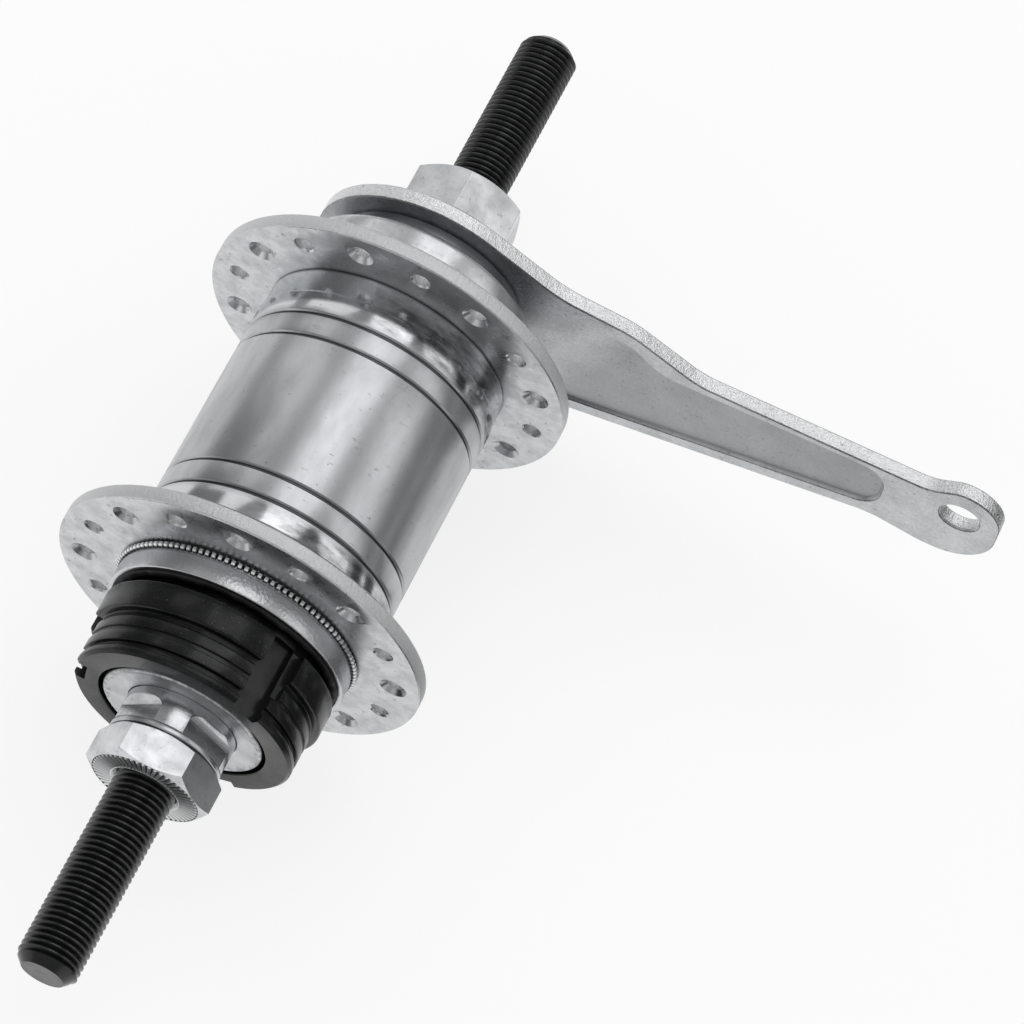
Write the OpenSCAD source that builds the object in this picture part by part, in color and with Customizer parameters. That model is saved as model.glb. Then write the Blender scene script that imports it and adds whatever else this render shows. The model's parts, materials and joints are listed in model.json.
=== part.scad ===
// Coaster brake hub: a steel rear bicycle hub with a back-pedal shoe brake inside.
// The hub axle lies along Y, the drive side points to -Y and the brake arm to +X.
// The origin is on the axle axis, midway between the two outer nut faces.

/* [Axle] */
// Diameter of the solid axle
axle_d = 9.5; // [9:0.1:9.8]
// Total length of the axle
axle_len = 172; // [165:1:190]
// How far the middle of the axle lies to the brake arm side
axle_shift = -0.3; // [-2:0.1:2]
// Diameter inside the nuts and cones, the pitch diameter of the thread
axle_core_d = 8.9; // [8.5:0.1:8.9]
// Length of the 45 degree chamfer at each axle end
axle_chamfer = 1.4; // [0.5:0.1:2]

/* [Frame width] */
// Distance between the outer faces of the two outer nuts
old = 110; // [109.5:0.1:112]

/* [Shell] */
// How far the middle of the shell lies to the brake arm side
shell_shift = 1.2; // [0.6:0.1:1.8]
// Outer diameter of both spoke flanges
flange_d = 58.5; // [56:0.5:64]
// Distance between the middle planes of the two flanges
flange_spacing = 50; // [49.6:0.1:50.6]
// Thickness of each flange
flange_t = 2.5; // [2:0.1:3]
// Distance from the middle of a spoke hole to the rim of its flange
spoke_inset = 4.25; // [3.75:0.25:5]
// Number of spoke holes in each flange
spoke_count = 16; // [14:1:18]
// Diameter of a spoke hole
spoke_hole_d = 2.8; // [2.4:0.1:3]
// Angle of the first hole of the drive side flange
spoke_phase = 3; // [0:1:20]
// Outer diameter of the barrel
barrel_d = 39.5; // [39:0.1:41]
// Wall of the barrel round the brake bore
barrel_wall = 2.5; // [2.3:0.1:2.6]
// How far the flange seats lie below the barrel
seat_step = 0.75; // [0.6:0.05:0.9]
// How far the collar beyond each flange lies below the flange seat
collar_step = 0.1; // [0.05:0.05:0.25]
// Length of the collar beyond each flange
collar_len = 4.4; // [4.1:0.1:4.7]
// How far the serrated ring that locks each flange stands above the collar
lock_ring_h = 0.45; // [0.3:0.05:0.6]
// Width of the serrated ring
lock_ring_w = 1.3; // [1:0.1:1.8]
// Distance of the inner pair of grooves from the middle of the shell
groove_in = 11.7; // [10:0.1:13]
// Distance of the outer pair of grooves from the middle of the shell
groove_out = 15.7; // [14.5:0.1:17]
// Width of each groove
groove_w = 0.9; // [0.5:0.1:1.2]
// Depth of each groove
groove_depth = 0.3; // [0.1:0.05:0.5]
// Distance from the middle of the shell to the start of the neck
neck_start = 19.5; // [18.5:0.1:20.5]
// How much smaller the neck is than the barrel, in diameter
neck_step = 0.5; // [0.2:0.1:0.7]

/* [Driver] */
// Diameter of the seat for a three-lug sprocket
seat_d = 34.9; // [34.5:0.1:35.2]
// How far the drum behind the sprocket lies below the shell's collar
drum_step = 0.45; // [0.2:0.05:0.8]
// Gap between the drum and the shell collar
mouth_gap = 1.9; // [1.5:0.1:2.3]
// Length of the drum
drum_len = 4.6; // [4.2:0.1:5]
// Width of the undercut beside the drum
undercut_w = 0.9; // [0.6:0.1:1.2]
// Length of the land next to the undercut
inner_land = 1.75; // [1.5:0.05:2]
// Width of the middle groove
middle_groove_w = 0.7; // [0.5:0.1:0.9]
// Length of the land next to the snap ring groove
outer_land = 1.75; // [1.5:0.05:2]
// Width of the snap ring groove
ring_groove_w = 1; // [0.8:0.1:1.2]
// Depth of the snap ring groove
ring_groove_depth = 0.8; // [0.5:0.1:1]
// Depth of the undercut and of the middle groove
fine_groove_depth = 0.35; // [0.2:0.05:0.5]
// Length of the front lip
lip_len = 1.25; // [1:0.05:1.5]
// Width of the bevel on the front lip
lip_bevel = 0.5; // [0.2:0.1:0.7]
// Width of each keyway
key_w = 4.6; // [4:0.1:5.5]
// Depth of each keyway below the seat
key_depth = 2; // [1.6:0.1:2.1]
// Width of the shallow step beside each keyway
key_step_w = 1.2; // [0.8:0.1:1.6]
// Depth of the shallow step below the seat
key_step_depth = 1; // [0.6:0.1:1.4]
// Angle of the middle of the first keyway
key_phase = 55; // [50:1:60]
// Bore in the front of the driver, round the dust cap
driver_bore_d = 26.8; // [26.5:0.1:27]
// Depth of that bore
driver_bore_depth = 3.8; // [3.5:0.1:4]
// Outer diameter of the quick screw
screw_d = 16.8; // [16.4:0.1:17]
// Depth of the quick screw's thread grooves
screw_groove = 1.1; // [0.8:0.1:1.3]
// Number of thread starts
screw_starts = 4; // [3:1:6]
// Lead of the quick screw
screw_lead = 26; // [22:1:32]

/* [Bearings] */
// Diameter of the balls in the two large bearings
ball_d = 6.35; // [6.2:0.05:6.4]
// Number of balls in each large bearing
ball_count = 10; // [8:1:10]
// Diameter of the balls between the adjusting cone and the driver
small_ball_d = 4.76; // [4.7:0.02:4.8]
// Pitch diameter of the small bearing
small_pcd = 19.2; // [19.1:0.1:19.3]
// Number of balls in the small bearing
small_count = 9; // [7:1:10]
// Gap between a ball and each surface that it runs on
ball_gap = 0.08; // [0.05:0.01:0.1]
// Gap between a ball and its pocket in the cage
pocket_gap = 0.12; // [0.08:0.01:0.15]
// Wall of the shell round each hardened cup
cup_cover = 1.3; // [1.2:0.05:1.35]

/* [Brake] */
// Half angle of the brake cones
brake_angle = 20; // [19:0.5:21]
// Length of each brake cone
cone_len = 8.8; // [8.2:0.1:9.2]
// Length of each brake shoe
shoe_len = 20; // [19:0.5:21]
// Wall of each shoe over the large end of a cone
shoe_wall = 2.6; // [2.5:0.05:2.8]
// Gap between the shoes and the barrel at rest
brake_clear = 0.4; // [0.4:0.05:0.6]
// Width of the gap between the two shoes
shoe_split = 4.2; // [4:0.1:5]
// Number of grease grooves in each shoe
shoe_grooves = 5; // [3:1:7]
// Gap between the cones and the shoes at rest
cone_gap = 0.3; // [0.25:0.05:0.35]
// Width of the two keys that stop the shoes from turning
shoe_key_w = 3; // [2.4:0.1:3.4]
// Half angle of the driving taper
drive_angle = 9.5; // [9.2:0.1:9.8]
// Length of the driving taper on the clutch
drive_taper_len = 7; // [6.5:0.1:7.2]
// Diameter of the retarder spring's wire
spring_wire = 1.6; // [1.4:0.1:1.8]

/* [Adjusting cone and nuts] */
// Width across the flats of both hexagon nuts
nut_flats = 17; // [16.5:0.1:18]
// Thickness of the drive side locknut
locknut_t = 6; // [5.5:0.1:6.3]
// Thickness of the lock washer
washer_t = 0.9; // [0.7:0.1:1.2]
// Diameter of the lock washer
washer_d = 17.6; // [17:0.1:18.4]
// Body diameter of the adjusting cone
adjuster_d = 17.3; // [17:0.1:17.5]
// Width across the four wrench flats of the adjusting cone
adjuster_flats = 15; // [14.6:0.1:15.6]
// Length of the wrench flats before their run-out
adjuster_flat_len = 2.4; // [2:0.1:2.6]
// Length of the curved run-out of the wrench flats
adjuster_runout = 1.5; // [1:0.1:1.8]
// Outer diameter of the drive side dust cap
cap_d = 25.6; // [25.2:0.1:25.8]
// Thickness of both dust caps' sheet metal
sheet_t = 0.7; // [0.5:0.1:0.8]
// Length of the nut behind the brake arm
arm_nut_len = 10; // [9.4:0.1:10.8]

/* [Brake arm] */
// Thickness of the brake arm
arm_t = 2.5; // [2.2:0.1:3]
// Distance from the axle to the clip hole
arm_reach = 88.5; // [84:0.5:100]
// Diameter of the clip hole
clip_hole_d = 6.2; // [6:0.1:7]
// How far the arm reaches past the middle of the clip hole
lug_reach = 6.4; // [6:0.1:7]
// Radius of the arm's head round the axle
arm_head_r = 18.7; // [18:0.1:19.2]
// Depth of the pressed channel in the arm
channel_depth = 0.6; // [0.3:0.1:1.2]
// Distance from the middle of the frame width to the arm's inner face
arm_face = 39.8; // [39.6:0.1:40.2]
// Size across the square hole in the arm
square_hole = 14.2; // [13.6:0.1:14.6]
// How far the rim of the arm side dust cover stands above the shell's collar
cover_over = 0.1; // [0:0.05:0.4]
// Distance from the arm to the back of the dust cover
cover_gap = 2.5; // [2.2:0.1:2.8]
// How far the rim of the dust cover stands back from its middle
cover_dish = 0.9; // [0.6:0.1:1.1]
// How far the shoulder between the cover and the arm lies below the shell's collar
shoulder_step = 3.5; // [3.2:0.1:3.7]

/* [Hidden] */
$fn = 96;

// Small clearances
thread_gap = 0.05;
press_gap = 0.02;
run_gap = 0.3;
edge = 0.3;
far = 60;

// Half sizes
axle_r = axle_d / 2;
core_r = axle_core_d / 2;
axle_bore_r = core_r + thread_gap;
flange_r = flange_d / 2;
spoke_circle_r = flange_r - spoke_inset;
barrel_r = barrel_d / 2;
neck_r = barrel_r - neck_step / 2;
seat_r = barrel_r - seat_step;
collar_r = seat_r - collar_step;
brake_r = barrel_r - barrel_wall;
drum_r = collar_r - drum_step;
sprocket_r = seat_d / 2;
screw_r = screw_d / 2;
cup_r = collar_r - cup_cover;
ball_r = ball_d / 2;
small_r = small_ball_d / 2;
small_pitch_r = small_pcd / 2;

// Places along the axle, drive side first
nut_face = old / 2;
flange_half = flange_spacing / 2;
drive_flange_y = shell_shift - flange_half;
arm_flange_y = shell_shift + flange_half;
shell_half = flange_half + flange_t / 2 + collar_len;
mouth_drive = shell_shift - shell_half;
mouth_arm = shell_shift + shell_half;
drum_end = mouth_drive - mouth_gap;
shoulder_y = drum_end - drum_len;
inner_land_y = shoulder_y - undercut_w;
middle_groove_y = inner_land_y - inner_land;
outer_land_y = middle_groove_y - middle_groove_w;
ring_groove_y = outer_land_y - outer_land;
lip_y = ring_groove_y - ring_groove_w;
driver_front = lip_y - lip_len;

// Bearings: each race is a 45 degree cone that just clears the balls
cup_len = 8.2;
cup_wall = 1.1;
seal_t = 0.8;
seal_inset = 0.5;
seal_w = 1.5;
collar_wall = 0.95;
seal_seat_r = collar_r - collar_wall;
seal_bottom = seal_inset + seal_t;
cup_inner_y = shell_half - seal_bottom - 0.6 - cup_len;
ball_inset = 4.65;
small_ball_inset = 7.3;
ball_from_mid = cup_inner_y + ball_inset;
drive_ball_y = shell_shift - ball_from_mid;
arm_ball_y = shell_shift + ball_from_mid;
race_offset = sqrt(2) * (ball_r + ball_gap);
small_race_offset = sqrt(2) * (small_r + ball_gap);
small_ball_y = driver_front + small_ball_inset;
cup_bore_r = cup_r - cup_wall;
ball_room = 0.125;
pitch_r = cup_bore_r - ball_r - ball_room;
race_root_r = pitch_r - ball_r - ball_room;

// Cages: how far each reaches to both sides of its balls, and how far it stays from the races
cage_front = 0.6;
cage_back = 3.7;
small_cage_back = 2.9;
cage_root = 0.4;
cage_side = 0.8;

// Brake mechanism
taper_start = shell_shift - cup_inner_y;
taper_len = 10;
taper_start_r = brake_r - taper_len * tan(drive_angle);
clutch_clear = 1.6;
clutch_start = taper_start + clutch_clear;
clutch_gap = cone_gap / cos(drive_angle);
clutch_start_r = taper_start_r + clutch_clear * tan(drive_angle) - clutch_gap;
clutch_taper_end = clutch_start + drive_taper_len;
clutch_end_r = clutch_start_r + drive_taper_len * tan(drive_angle);
spring_groove_w = spring_wire + 0.8;
cone_inset = 1.8;
tang_reach = 2.5;
shoe_gap_r = cone_gap / cos(brake_angle);
shoe_r = brake_r - brake_clear;
shoe_mouth_r = shoe_r - shoe_wall;
cone_large_r = shoe_mouth_r - shoe_gap_r + cone_inset * tan(brake_angle);
cone_small_r = cone_large_r - cone_len * tan(brake_angle);
spring_seat_r = cone_large_r - 1.5 * spring_wire;
clutch_cone_y = clutch_taper_end + spring_groove_w;
clutch_end = clutch_cone_y + cone_len;
shoe_start = clutch_cone_y + cone_inset;
shoe_end = shoe_start + shoe_len;
arm_cone_base = shoe_end + cone_inset;
arm_cone_tip = arm_cone_base - cone_len;
screw_bore_r = screw_r + run_gap;
screw_short = 3;
screw_end = clutch_end - screw_short;

// Arm side
arm_back = arm_face + arm_t;
cover_back = arm_face - cover_gap;
shoulder_r = collar_r - shoulder_step;
cover_r = collar_r + cover_over;
cover_seat_step = 2;
cover_seat_r = shoulder_r - cover_seat_step;
cover_start = mouth_arm + 0.5;
square_gap = 0.1;
square_r = square_hole / 2 - square_gap;
arm_nut_start = nut_face - arm_nut_len;
nut_corner_r = nut_flats / sqrt(3);

// Drive side nut stack
washer_y = -nut_face + locknut_t;
adjuster_y = washer_y + washer_t;
cap_front = driver_front + 0.1;
cap_rim = 0.2;
cap_y = cap_front + cap_rim;
cap_gap = 0.1;
adjuster_shoulder_r = 9.4;
nose_wall = 1.2;

// A revolved solid about the Y axis from [radius, place along Y] points
module turned(points) {
    rotate([-90, 0, 0])
        rotate_extrude()
            polygon(points);
}

// A straight cylinder about the Y axis
module rod(r, from, to, sides = $fn) {
    translate([0, from, 0])
        rotate([-90, 0, 0])
            cylinder(r = r, h = to - from, $fn = sides);
}

// Puts children at an angle about the axle, measured from +X towards +Z
module at_angle(a) {
    rotate([0, -a, 0])
        children();
}

// Repeats children evenly about the axle
module around(count, phase = 0) {
    for (i = [0 : count - 1])
        at_angle(phase + i * 360 / count)
            children();
}

// A box given by its low corner and its high corner
module block(low, high) {
    translate(low)
        cube(high - low);
}

// Points of the arc that rounds corner b between a and c with radius r
function unit(v) = v / norm(v);
function corner_arc(a, b, c, r, steps = 12) =
    let (u = unit(a - b), v = unit(c - b))
    let (half = acos(u * v) / 2)
    let (centre = b + unit(u + v) * r / sin(half))
    let (from = b + u * r / tan(half) - centre, to = b + v * r / tan(half) - centre)
    let (a0 = atan2(from[1], from[0]), raw = atan2(to[1], to[0]) - a0)
    let (turn = raw > 180 ? raw - 360 : raw < -180 ? raw + 360 : raw)
    [for (i = [0 : steps]) centre + r * [cos(a0 + turn * i / steps), sin(a0 + turn * i / steps)]];

// Leaves out each point that lies on the next one
function distinct(points) =
    let (n = len(points))
    [for (i = [0 : n - 1]) if (norm(points[i] - points[(i + 1) % n]) > 0.02) points[i]];

// An outline from corners [x, y, radius]
function rounded(corners) =
    let (n = len(corners), p = [for (c = corners) [c[0], c[1]]])
    let (arcs = [for (i = [0 : n - 1])
        corner_arc(p[(i + n - 1) % n], p[i], p[(i + 1) % n], corners[i][2])])
    distinct([for (arc = arcs) each arc]);

// An outline in the X-Z plane extruded along +Y
module plate(outline, from, thick) {
    translate([0, from + thick, 0])
        rotate([90, 0, 0])
            linear_extrude(thick)
                polygon(outline);
}

// Axle with chamfered ends, thinner between the nut faces, where its thread is engaged
module axle() {
    low = axle_shift - axle_len / 2;
    high = axle_shift + axle_len / 2;
    tip_r = axle_r - axle_chamfer;
    core_end = nut_face + run_gap;
    color("dimgray")
        turned([[0, low], [tip_r, low], [axle_r, low + axle_chamfer], [axle_r, -core_end],
                [core_r, -core_end], [core_r, core_end], [axle_r, core_end],
                [axle_r, high - axle_chamfer], [tip_r, high], [0, high]]);
}

// Hexagon nut with its corners turned down to a chamfer at each end
module hex_nut(from, to, phase) {
    chamfer = nut_corner_r - nut_flats / 2 + edge;
    lift = chamfer * tan(30);
    difference() {
        intersection() {
            at_angle(phase)
                rod(nut_corner_r, from, to, 6);
            turned([[0, from], [nut_corner_r - chamfer, from], [nut_corner_r, from + lift],
                    [nut_corner_r, to - lift], [nut_corner_r - chamfer, to], [0, to]]);
        }
        rod(axle_bore_r, from - 1, to + 1);
    }
}

module locknut() {
    color("gainsboro")
        hex_nut(-nut_face, washer_y, 58);
}

module arm_nut() {
    color("gainsboro")
        hex_nut(arm_nut_start, nut_face, 90);
}

// Washer with a round edge
module lock_washer() {
    r = washer_d / 2;
    color("silver")
        turned([[axle_bore_r, washer_y], [r - 0.2, washer_y], [r, washer_y + 0.2],
                [r, adjuster_y - 0.2], [r - 0.2, adjuster_y], [axle_bore_r, adjuster_y]]);
}

// Adjusting cone: four wrench flats with a curved run-out, a shoulder and a ball race
module adjusting_cone() {
    r = adjuster_d / 2;
    race_sum = small_pitch_r + small_ball_y - small_race_offset;
    nose_r = axle_bore_r + nose_wall;
    flat = adjuster_flats / 2;
    flat_end = adjuster_y + adjuster_flat_len;
    rise = r - flat;
    cutter_r = (adjuster_runout * adjuster_runout + rise * rise) / (2 * rise);
    color("silver")
        difference() {
            turned([[axle_bore_r, adjuster_y], [r, adjuster_y], [r, cap_y + sheet_t],
                    [adjuster_shoulder_r, cap_y + sheet_t],
                    [adjuster_shoulder_r, race_sum - adjuster_shoulder_r],
                    [nose_r, race_sum - nose_r], [axle_bore_r, race_sum - nose_r]]);
            around(4, 45) {
                block([flat, adjuster_y - 1, -r], [r + 1, flat_end, r]);
                translate([flat + cutter_r, flat_end, 0])
                    cylinder(r = cutter_r, h = 2 * r, center = true);
            }
        }
}

// Dished drive side dust cap with a raised rim
module drive_dust_cap() {
    hole_r = adjuster_d / 2 + cap_gap;
    r = cap_d / 2;
    color("silver")
        turned([[hole_r, cap_y], [r - 1.1, cap_y], [r - 0.7, cap_front], [r - cap_rim, cap_front],
                [r, cap_y], [r, cap_y + sheet_t], [hole_r, cap_y + sheet_t]]);
}

// Driver outline from the front face to the quick screw, then back along its bore
module driver_body() {
    low = sprocket_r - fine_groove_depth;
    deep = sprocket_r - ring_groove_depth;
    neck = seal_seat_r - seal_w;
    neck_end = taper_start - cup_len - run_gap;
    race_sum = pitch_r + drive_ball_y - race_offset;
    race_top_r = race_sum - neck_end;
    root_end = drive_ball_y + ball_r + run_gap;
    bore_r = axle_r + 2 * run_gap;
    cup_sum = small_pitch_r + small_ball_y + small_race_offset;
    cup_top_r = small_pitch_r + small_r + run_gap;
    cap_bore_r = driver_bore_d / 2;
    step_y = driver_front + driver_bore_depth;
    inner_r = 8;
    turned([[cap_bore_r, driver_front], [sprocket_r - lip_bevel, driver_front],
            [sprocket_r, driver_front + lip_bevel], [sprocket_r, lip_y], [deep, lip_y],
            [deep, ring_groove_y], [sprocket_r, ring_groove_y], [sprocket_r, outer_land_y],
            [low, outer_land_y], [low, middle_groove_y], [sprocket_r, middle_groove_y],
            [sprocket_r, inner_land_y], [low, inner_land_y], [low, shoulder_y],
            [drum_r - edge, shoulder_y], [drum_r, shoulder_y + edge], [drum_r, drum_end - edge],
            [drum_r - edge, drum_end], [neck, drum_end], [neck, neck_end],
            [race_top_r, neck_end], [race_root_r, race_sum - race_root_r],
            [race_root_r, root_end], [screw_r, root_end + edge], [screw_r, screw_end - edge],
            [screw_r - edge, screw_end], [bore_r, screw_end], [bore_r, cup_sum - inner_r],
            [inner_r, cup_sum - inner_r], [cup_top_r, cup_sum - cup_top_r],
            [cup_top_r, step_y], [cap_bore_r, step_y]]);
}

// One groove of the quick screw, as a twisted bar along the axle
module screw_groove() {
    from = drive_ball_y + ball_r + 2.4;
    length = screw_end - from + 1;
    w = PI * screw_r / screw_starts * 0.9;
    turn = 360 * length / screw_lead;
    translate([0, from + length, 0])
        rotate([90, 0, 0])
            linear_extrude(length, twist = turn, slices = 14, segments = 4)
                translate([screw_r - screw_groove, -w / 2])
                    square([screw_groove + 1, w]);
}

// Driver: sprocket seat, three keyways, ball races and the quick screw
module driver() {
    floor_r = sprocket_r - key_depth;
    step_start = outer_land_y + run_gap;
    color([0.12, 0.12, 0.13])
        difference() {
            driver_body();
            around(3, key_phase) {
                block([floor_r, driver_front - 1, -key_w / 2], [far, drum_end + 1, key_w / 2]);
                block([sprocket_r - key_step_depth, step_start, -key_w / 2 - key_step_w],
                      [far, drum_end + 1, 0]);
            }
            around(screw_starts)
                screw_groove();
        }
}

// Steel balls in a ring
module balls(r, pitch, count, y) {
    around(count)
        translate([pitch, y, 0])
            sphere(r = r, $fn = 32);
}

module driver_balls() {
    color("lightgray")
        balls(small_r, small_pitch_r, small_count, small_ball_y);
}

module drive_side_balls() {
    color("lightgray")
        balls(ball_r, pitch_r, ball_count, drive_ball_y);
}

module arm_side_balls() {
    color("lightgray")
        balls(ball_r, pitch_r, ball_count, arm_ball_y);
}

// Crown cage: a ring beside the balls with a rounded pocket for each
module cage(outline, r, pitch, count, y) {
    color("darkgoldenrod")
        difference() {
            turned(outline);
            around(count)
                translate([pitch, y, 0])
                    sphere(r = r + pocket_gap, $fn = 32);
        }
}

module driver_ball_cage() {
    in_r = small_pitch_r + cage_side;
    out_r = small_pitch_r + small_r - ball_gap;
    from = small_ball_y - small_cage_back;
    to = small_ball_y + cage_front;
    cage([[in_r, from], [out_r, from], [out_r, to], [in_r, to]],
         small_r, small_pitch_r, small_count, small_ball_y);
}

// Outline of a large cage, on the side towards the middle of the hub
function large_cage(y, side) =
    let (in_r = race_root_r + cage_root, out_r = pitch_r - cage_side)
    let (from = y - side * cage_front, to = y + side * cage_back)
    [[in_r, from], [out_r, from], [out_r, to], [in_r, to]];

module drive_side_cage() {
    cage(large_cage(drive_ball_y, 1), ball_r, pitch_r, ball_count, drive_ball_y);
}

module arm_side_cage() {
    cage(large_cage(arm_ball_y, -1), ball_r, pitch_r, ball_count, arm_ball_y);
}

// Hardened cup; side is 1 on the drive side and -1 on the arm side
module bearing_cup(ball_y, side) {
    sum = pitch_r + race_offset;
    inner = shell_shift - side * cup_inner_y;
    outer = inner - side * cup_len;
    r = cup_r - press_gap;
    toe_r = sum - side * (inner - ball_y);
    color("slategray")
        turned([[r, outer], [r, inner], [toe_r, inner],
                [cup_bore_r, ball_y + side * (sum - cup_bore_r)], [cup_bore_r, outer]]);
}

module drive_side_cup() {
    bearing_cup(drive_ball_y, 1);
}

module arm_side_cup() {
    bearing_cup(arm_ball_y, -1);
}

// Black seal ring pressed into the shell's mouth on the drive side
module mouth_seal() {
    out_r = seal_seat_r - press_gap;
    in_r = seal_seat_r - seal_w + run_gap;
    from = mouth_drive + seal_inset;
    color([0.1, 0.1, 0.1])
        turned([[in_r, from], [out_r, from], [out_r, from + seal_t], [in_r, from + seal_t]]);
}

// A rounded groove round the barrel
module barrel_groove(y) {
    turned([[barrel_r - groove_depth, y - groove_w / 4], [barrel_r + 1, y - groove_w / 2 - 0.6],
            [barrel_r + 1, y + groove_w / 2 + 0.6], [barrel_r - groove_depth, y + groove_w / 4]]);
}

// Outside of half of the shell, from the middle to one mouth
function shell_side(side) =
    let (m = shell_shift, ring_start = flange_half + flange_t / 2, ring_r = collar_r + lock_ring_h)
    let (ring_end = ring_start + lock_ring_w, lip = 0.35)
    [[barrel_r, m + side * neck_start], [neck_r, m + side * (neck_start + neck_step / 2)],
     [neck_r, m + side * (flange_half - flange_t / 2)],
     [seat_r, m + side * (flange_half - flange_t / 2)], [seat_r, m + side * ring_start],
     [ring_r, m + side * (ring_start + 0.1)], [ring_r, m + side * (ring_end - 0.2)],
     [ring_r - 0.2, m + side * ring_end], [collar_r, m + side * ring_end],
     [collar_r, m + side * (shell_half - lip)], [collar_r - lip, m + side * shell_half],
     [seal_seat_r, m + side * shell_half], [seal_seat_r, m + side * (shell_half - seal_bottom)],
     [cup_r, m + side * (shell_half - seal_bottom)], [cup_r, m + side * cup_inner_y]];

// Barrel with its collars, serrated rings, driving taper and brake bore
module hub_barrel() {
    left = shell_side(-1);
    right = shell_side(1);
    n = len(left);
    inside = [[brake_r, shell_shift + cup_inner_y], [brake_r, taper_start + taper_len],
              [taper_start_r, taper_start]];
    color("silver")
        difference() {
            turned(concat([for (i = [0 : n - 1]) left[n - 1 - i]], right, inside));
            for (side = [-1, 1], place = [groove_in, groove_out])
                barrel_groove(shell_shift + side * place);
        }
}

// Spoke flange: a flat ring with holes countersunk on alternate sides
module flange(y, phase) {
    low = y - flange_t / 2;
    high = y + flange_t / 2;
    sink = 0.5;
    rim = 0.2;
    bore_r = seat_r + press_gap;
    hole_r = spoke_hole_d / 2;
    color("lightgray")
        difference() {
            turned([[bore_r, low], [flange_r - rim, low], [flange_r, low + rim],
                    [flange_r, high - rim], [flange_r - rim, high], [bore_r, high]]);
            around(spoke_count, phase)
                translate([spoke_circle_r, 0, 0])
                    rod(hole_r, low - 1, high + 1, 24);
            for (i = [0 : spoke_count - 1])
                at_angle(phase + i * 360 / spoke_count)
                    translate([spoke_circle_r, i % 2 == 0 ? low : high, 0])
                        rotate([i % 2 == 0 ? -90 : 90, 0, 0])
                            cylinder(r1 = hole_r + sink, r2 = hole_r, h = sink, $fn = 24);
        }
}

module drive_flange() {
    flange(drive_flange_y, spoke_phase);
}

module arm_flange() {
    flange(arm_flange_y, spoke_phase + 180 / spoke_count);
}

// Clutch: driving taper, spring neck and brake cone on one sleeve
module clutch_cone() {
    color("darkgray")
        turned([[screw_bore_r, clutch_start], [clutch_start_r, clutch_start],
                [clutch_end_r, clutch_taper_end], [spring_seat_r, clutch_taper_end],
                [spring_seat_r, clutch_cone_y], [cone_large_r, clutch_cone_y],
                [cone_small_r, clutch_end], [screw_bore_r, clutch_end]]);
}

// Open wire ring round the clutch neck, with one end bent into the gap between the shoes
module retarder_spring() {
    wire_r = spring_wire / 2;
    ring_r = spring_seat_r + wire_r + thread_gap;
    y = clutch_taper_end + spring_groove_w / 2;
    out_r = cone_large_r + wire_r + 0.5;
    tang = shoe_start + tang_reach;
    color("dimgray") {
        translate([0, y, 0])
            rotate([-90, 0, 0])
                rotate_extrude(angle = 320)
                    translate([ring_r, 0])
                        circle(r = wire_r, $fn = 24);
        translate([ring_r, y, 0])
            rotate([0, 90, 0])
                cylinder(r = wire_r, h = out_r - ring_r, $fn = 24);
        translate([out_r, y, 0])
            rotate([-90, 0, 0])
                cylinder(r = wire_r, h = tang - y, $fn = 24);
        translate([out_r, y, 0])
            sphere(r = wire_r, $fn = 24);
    }
}

// One brake shoe: half of a sleeve with a taper inside each end
module shoe(side) {
    waist_r = cone_small_r + 2 * run_gap;
    run = (shoe_mouth_r - waist_r) / tan(brake_angle);
    spread = 140;
    color("darkkhaki")
        intersection() {
            difference() {
                turned([[shoe_mouth_r, shoe_start], [shoe_r - edge, shoe_start],
                        [shoe_r, shoe_start + edge], [shoe_r, shoe_end - edge],
                        [shoe_r - edge, shoe_end], [shoe_mouth_r, shoe_end],
                        [waist_r, shoe_end - run], [waist_r, shoe_start + run]]);
                for (i = [0 : shoe_grooves - 1])
                    at_angle(side * (90 - spread / 2 + (i + 0.5) * spread / shoe_grooves))
                        block([shoe_r - 0.5, shoe_start - 1, -0.6], [shoe_r + 1, shoe_end + 1, 0.6]);
            }
            translate([-far, shoe_start - 1, side > 0 ? shoe_split / 2 : -far - shoe_split / 2])
                cube([2 * far, shoe_len + 2, far]);
        }
}

module upper_shoe() {
    shoe(1);
}

module lower_shoe() {
    shoe(-1);
}

// Fixed cone: brake cone, shoe keys, ball race, cover seat, shoulder and square end
module arm_cone() {
    race_sum = arm_ball_y - pitch_r + race_offset;
    flange_end = arm_cone_base + 1.4;
    key_r = shoe_r - 0.6;
    key_in = cone_small_r - 2;
    color("gray")
        difference() {
            union() {
                turned([[axle_bore_r, arm_cone_tip], [cone_small_r, arm_cone_tip],
                        [cone_large_r, arm_cone_base], [cone_large_r, flange_end],
                        [race_root_r, flange_end + 1.2], [race_root_r, race_sum + race_root_r],
                        [cover_seat_r, race_sum + cover_seat_r], [cover_seat_r, cover_back],
                        [shoulder_r, cover_back], [shoulder_r, arm_face - edge],
                        [shoulder_r - edge, arm_face], [axle_bore_r, arm_face]]);
                block([-square_r, arm_face - 1, -square_r], [square_r, arm_back - 0.1, square_r]);
                around(2)
                    block([key_in, arm_cone_tip + 2, -shoe_key_w / 2],
                          [key_r, flange_end, shoe_key_w / 2]);
            }
            rod(axle_bore_r, arm_cone_tip - 1, arm_back + 1);
        }
}

// Dished cover with a straight skirt that reaches back to the shell's collar
module arm_dust_cover() {
    hole_r = cover_seat_r + press_gap;
    rim_y = cover_back - cover_dish;
    in_r = cover_r - sheet_t;
    color("silver")
        turned([[hole_r, cover_back], [shoulder_r, cover_back], [cover_r - 1, rim_y + edge],
                [cover_r - edge, rim_y], [cover_r, rim_y - 2 * edge], [cover_r, cover_start],
                [in_r, cover_start], [in_r, rim_y - sheet_t],
                [shoulder_r, cover_back - sheet_t], [hole_r, cover_back - sheet_t]]);
}

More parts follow.
